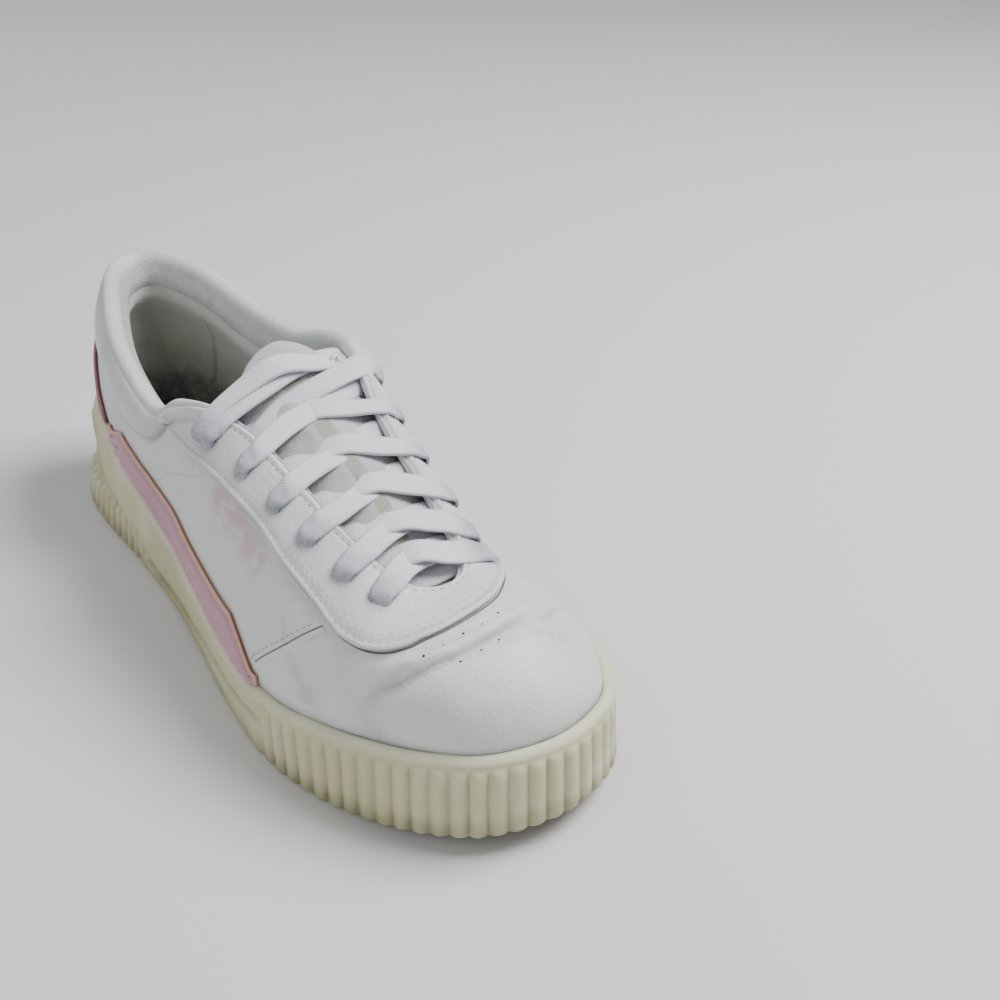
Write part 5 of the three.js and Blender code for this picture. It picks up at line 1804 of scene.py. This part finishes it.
@dataclass
class Stitches:
    """Rows of single stitches on the overlays and the upper."""

    last: Last
    upper: Upper
    overlays: Overlays
    shop: Workshop
    ankle_row: Table = (
        (29.4, 68.0, 30.0), (30.4, 77.2, 34.5), (32.4, 97.0, 45.0), (33.3, 116.9, 55.2), (32.4, 130.5, 62.3),
        (32.2, 140.5, 67.3),
    )
    # Stitches that meet in a V on the band in front of the throat.
    throat_rows: tuple[Table, ...] = (
        ((18.2, 223.7, 56.6), (12.6, 225.2, 57.0), (6.2, 225.4, 57.4), (-1.0, 223.4, 57.4), (-8.5, 219.5, 57.4)),
        ((15.5, 221.6, 57.6), (8.0, 222.0, 57.8), (1.0, 220.8, 57.6), (-7.5, 217.8, 57.6)),
    )
    length: float = 1.8
    spacing: float = 2.5
    thick: float = 0.48

    def _row(self, station: Array, level: Array, height: float) -> tuple[Array, Array, Array]:
        """Places, directions and normals of stitches along a line on the upper.

        Args:
            station: Stations along the line.
            level: Levels along the line.
            height: Height over the upper.

        Returns:
            One row for each stitch in every table.
        """
        points = self.upper.outside(station, level, height)
        normals = self.last.normal(station, level)
        gone = run_length(points)
        where = np.arange(self.spacing / 2, gone[-1] - self.spacing / 2, self.spacing)
        way = read_rows(where + 0.6, gone, points) - read_rows(where - 0.6, gone, points)
        way /= np.linalg.norm(way, axis=1)[:, None]
        return read_rows(where, gone, points), way, read_rows(where, gone, normals)

    def lines(self) -> list[tuple[Array, Array, Array]]:
        """Every row of stitches."""
        rows = []
        start, end = EYESTAY_ENDS
        u = np.linspace(0.02, 0.98, 500)
        for inset in (2.2, 4.4):
            station = mix(start, end, u)
            border = self.overlays.border(station)
            rows.append(self._row(station, self.last.from_edge(station, border - inset), self.overlays.thick - 0.15))
        station = np.linspace(6.6, 17.4, 500)
        rows.append(self._row(station, self.last.from_edge(station, 2.2), self.overlays.thick - 0.1))
        for ends in (PANEL_LATERAL, PANEL_MEDIAL):
            for inset in (QUILT_START, QUILT_START + QUILT_PITCH, QUILT_START + 2 * QUILT_PITCH):
                station = np.linspace(ends[0] + 0.8, ends[1] - 0.8, 200)
                level = self.last.from_rim(station, 1 + PANEL_HEIGHT - inset)
                rows.append(self._row(station, level, self.overlays.thick - 0.15))
        rows.append(self._row(*self.last.trace(self.ankle_row, 80), -0.08))
        rows.append(self._row(*self.last.trace([(x + 1.2, y - 2.6, z) for x, y, z in VAMP_SEAM], 60), 0.1))
        for fold in self.throat_rows:
            rows.append(self._row(*self.last.trace(fold, 40), self.overlays.thick - 0.15))
        return rows

    def build(self) -> Object:
        """Models each stitch as a small bead, copied along the rows."""
        bpy.ops.mesh.primitive_uv_sphere_add(segments=6, ring_count=4, radius=1.0)
        bead = bpy.context.object
        rounded = np.zeros(len(bead.data.vertices) * 3)
        bead.data.vertices.foreach_get("co", rounded)
        rounded = rounded.reshape(-1, 3) * (self.length / 2, self.thick / 2, self.thick / 2)
        faces = [tuple(polygon.vertices) for polygon in bead.data.polygons]
        bpy.data.objects.remove(bead)
        vertices: list[Array] = []
        indices: list[tuple[int, ...]] = []
        for places, ways, normals in self.lines():
            for centre, way, up in zip(places, ways, normals):
                side = np.cross(up, way)
                basis = np.stack([way, side / np.linalg.norm(side), up])
                base = len(vertices) * len(rounded)
                vertices.append(self.shop.to_row(rounded @ basis + centre))
                indices += [tuple(base + index for index in face) for face in faces]
        mesh = bpy.data.meshes.new("stitching")
        mesh.from_pydata(np.concatenate(vertices).tolist(), [], indices)
        obj = bpy.data.objects.new("stitching", mesh)
        bpy.context.collection.objects.link(obj)
        self.shop.mark(obj, 0.35)
        self.shop.only(obj)
        bpy.ops.object.shade_smooth()
        return self.shop.dress(obj, THREAD, "white_leather")


@dataclass
class Seams:
    """The leather's joins, with dark strips of painted shadow beside their folded edges, and the pinholes in the vamp.
    """

    last: Last
    upper: Upper
    overlays: Overlays
    shop: Workshop
    pin_holes: Table = (
        (13.1, 236.1, 54.5), (6.9, 236.3, 55.5), (0.9, 236.5, 55.8), (-5.3, 235.3, 55.5), (5.4, 242.6, 53.6),
        (-1.0, 242.2, 54.2), (11.8, 242.2, 52.9), (18.8, 235.6, 53.0),
    )

    def _tape(self, name: str, station: Array, level: Array, across: Array, heights: Array,
              soil: Array) -> Object:
        """Lays a narrow strip along a line on the upper.

        Args:
            name: Name of the strip.
            station: Stations along the line.
            level: Levels along the line.
            across: Sideways places of the strip's rows in millimetres.
            heights: Heights of the rows over the upper.
            soil: Painted shade of the rows.

        Returns:
            The strip.
        """
        points = self.upper.outside(station, level, 0.0)
        up = self.last.normal(station, level)
        way = np.gradient(points, axis=0)
        side = np.cross(up, way)
        side /= np.linalg.norm(side, axis=1)[:, None]
        count, rows = len(station), len(across)

        def read(table: Array, u: Array) -> Array:
            """The table at a share of the line."""
            return read_rows(u * (count - 1), np.arange(count), table)

        def place(u: Array, v: Array) -> Array:
            """Places over the strip."""
            row = v * (rows - 1)
            fade = smooth(np.minimum(u, 1 - u), 0.0, 0.03)
            lifted = np.interp(row, np.arange(rows), heights) * fade + (fade - 1) * 0.1
            return (read(points, u) + read(side, u) * np.interp(row, np.arange(rows), across)[:, None]
                    + read(up, u) * lifted[:, None])

        def masks(u: Array, v: Array) -> dict[str, Array]:
            """The painted shade of the rows."""
            return {"soil": np.interp(v * (rows - 1), np.arange(rows), soil)}

        obj = self.shop.grid(name, count - 1, rows - 1, place, size=(100.0, 2.0), masks=masks)
        self.shop.facing(obj, up.mean(0))
        return obj

    def build(self) -> None:
        """Models the joins as painted shadow strips and a folded lap, and the pinholes."""
        start, end = EYESTAY_ENDS
        station = np.linspace(start, end, 900)
        line = self.last.from_edge(station, self.overlays.border(station) + 0.25)
        flat = np.array([-0.34, -0.16, 0.16, 0.34])
        low = np.array([-0.05, 0.12, 0.12, -0.05])
        # Thin dark strips of painted shadow under the eyestay's border and along the vamp's join.
        lines = [self._tape("border_shadow_line", station, line, flat, low, flat * 0 + 0.4)]
        vamp_station, vamp_level = self.last.trace(VAMP_SEAM, 120)
        lines.append(self._tape("vamp_shadow_line", vamp_station, vamp_level, flat * 0.8, low, flat * 0))
        self.shop.dress(self.shop.join("seam_shadow_lines", lines), SEAM, "white_leather")
        # The fold's first row is darkened: painted shade where the lap meets the leather.
        fold = self._tape("vamp_fold", vamp_station, vamp_level, np.array([-0.25, -0.4, -0.8, -1.3, -2.0]),
                          np.array([-0.1, 0.28, 0.36, 0.18, -0.12]), np.array([0.4, 0.1, 0.0, 0.0, 0.0]))
        self.shop.dress(fold, LEATHER_WHITE, "white_leather")
        self._pinholes()

    def _pinholes(self) -> None:
        """Models the small dark holes in the vamp as sunk dots, whose dark colour is painted shade."""
        dots = []
        for spot in self.pin_holes:
            station, level = self.last.trace((spot, np.array(spot) + (0.1, 0.0, 0.0)), 2)
            centre = self.upper.outside(station[:1], level[:1], np.array([-0.12]))[0]
            bpy.ops.mesh.primitive_uv_sphere_add(segments=12, ring_count=6, radius=0.0005)
            dots.append(bpy.context.object)
            self.shop.stand(dots[-1], centre, self.last.normal(station[:1], level[:1])[0], 0.35)
        obj = self.shop.join("pinholes", dots)
        self.shop.mark(obj, 0.5)
        bpy.ops.object.shade_smooth()
        self.shop.dress(obj, HOLE, "white_leather")


@dataclass
class Studio:
    """The floor, the light and the camera."""

    shop: Workshop
    eye: Row = (148.49, 439.07, 254.3)
    right: Row = (-0.7969, 0.6041, 0.0)
    up: Row = (-0.3248, -0.4285, 0.8432)
    focal_pixels: float = 1208.4

    def floor(self) -> None:
        """Lays a plain pale floor."""
        bpy.ops.mesh.primitive_plane_add(size=6.0, location=(0, 0, 0))
        plane = bpy.context.object
        plane.name = "floor"
        material = bpy.data.materials.new("floor")
        material.use_nodes = True
        surface = material.node_tree.nodes["Principled BSDF"]
        surface.inputs["Base Color"].default_value = paint(214, 214, 214)
        surface.inputs["Roughness"].default_value = 0.9
        plane.data.materials.append(material)

    def lamp(self, name: str, place: Vector, size: float, power: float) -> None:
        """Hangs one soft square lamp that points at the shoe.

        Args:
            name: Name of the lamp.
            place: Where it hangs, in metres.
            size: Its width in metres.
            power: Its power in watts.
        """
        data = bpy.data.lights.new(name, "AREA")
        data.size = size
        data.energy = power
        obj = bpy.data.objects.new(name, data)
        bpy.context.collection.objects.link(obj)
        obj.location = place
        obj.rotation_euler = (-place).to_track_quat("-Z", "Y").to_euler()

    def light(self) -> None:
        """Lights the shoe softly from above, a little from behind and from the medial side."""
        self.lamp("key", Vector((-0.6, 0.35, 1.0)), 0.6, 22.0)
        self.lamp("fill", Vector((0.95, 0.2, 0.7)), 1.2, 5.0)
        self.lamp("back", Vector((0.1, -1.1, 0.8)), 1.0, 4.0)
        world = bpy.data.worlds.new("studio")
        world.use_nodes = True
        world.node_tree.nodes["Background"].inputs[0].default_value = (0.93, 0.95, 1.0, 1.0)
        world.node_tree.nodes["Background"].inputs[1].default_value = 0.27
        bpy.context.scene.world = world

    def camera(self) -> None:
        """Sets the camera where the photograph was taken from."""
        data = bpy.data.cameras.new("camera")
        data.sensor_width = 36.0
        data.lens = self.focal_pixels * 36.0 / 1000.0
        obj = bpy.data.objects.new("camera", data)
        bpy.context.collection.objects.link(obj)
        right, up = Vector(self.right), Vector(self.up)
        turn = Matrix((right, up, right.cross(up))).transposed().to_4x4()
        obj.matrix_world = Matrix.Translation(Vector(self.shop.to_row(np.array(self.eye)))) @ turn
        bpy.context.scene.camera = obj


def main() -> None:
    """Builds every piece and the studio."""
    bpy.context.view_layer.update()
    outline = Outline()
    last = Last(outline)
    shop = Workshop(outline, last)
    Cupsole(outline, last, shop).build()
    treads = Treads(outline, last, shop)
    treads.outsole()
    treads.insole()
    upper = Upper(last, shop)
    shell = upper.build()
    overlays = Overlays(last, upper, shop)
    eyestay = overlays.eyestay()
    overlays.punch(shell, eyestay)
    shop.dress(shell, LEATHER_WHITE, "white_leather", "upper")
    shop.dress(eyestay, LEATHER_WHITE, "white_leather", "eyestay")
    upper.lining()
    overlays.panel("side_panel_lateral_leather", PANEL_LATERAL, 1, "side_panel_lateral")
    overlays.panel("side_panel_medial_leather", PANEL_MEDIAL, -1, "side_panel_medial")
    overlays.heel_tab()
    Tongue(last, upper, shop).build()
    Laces(last, overlays, shop).build()
    Stitches(last, upper, overlays, shop).build()
    Seams(last, upper, overlays, shop).build()
    studio = Studio(shop)
    studio.floor()
    studio.light()
    studio.camera()


if __name__ == "__main__":
    main()
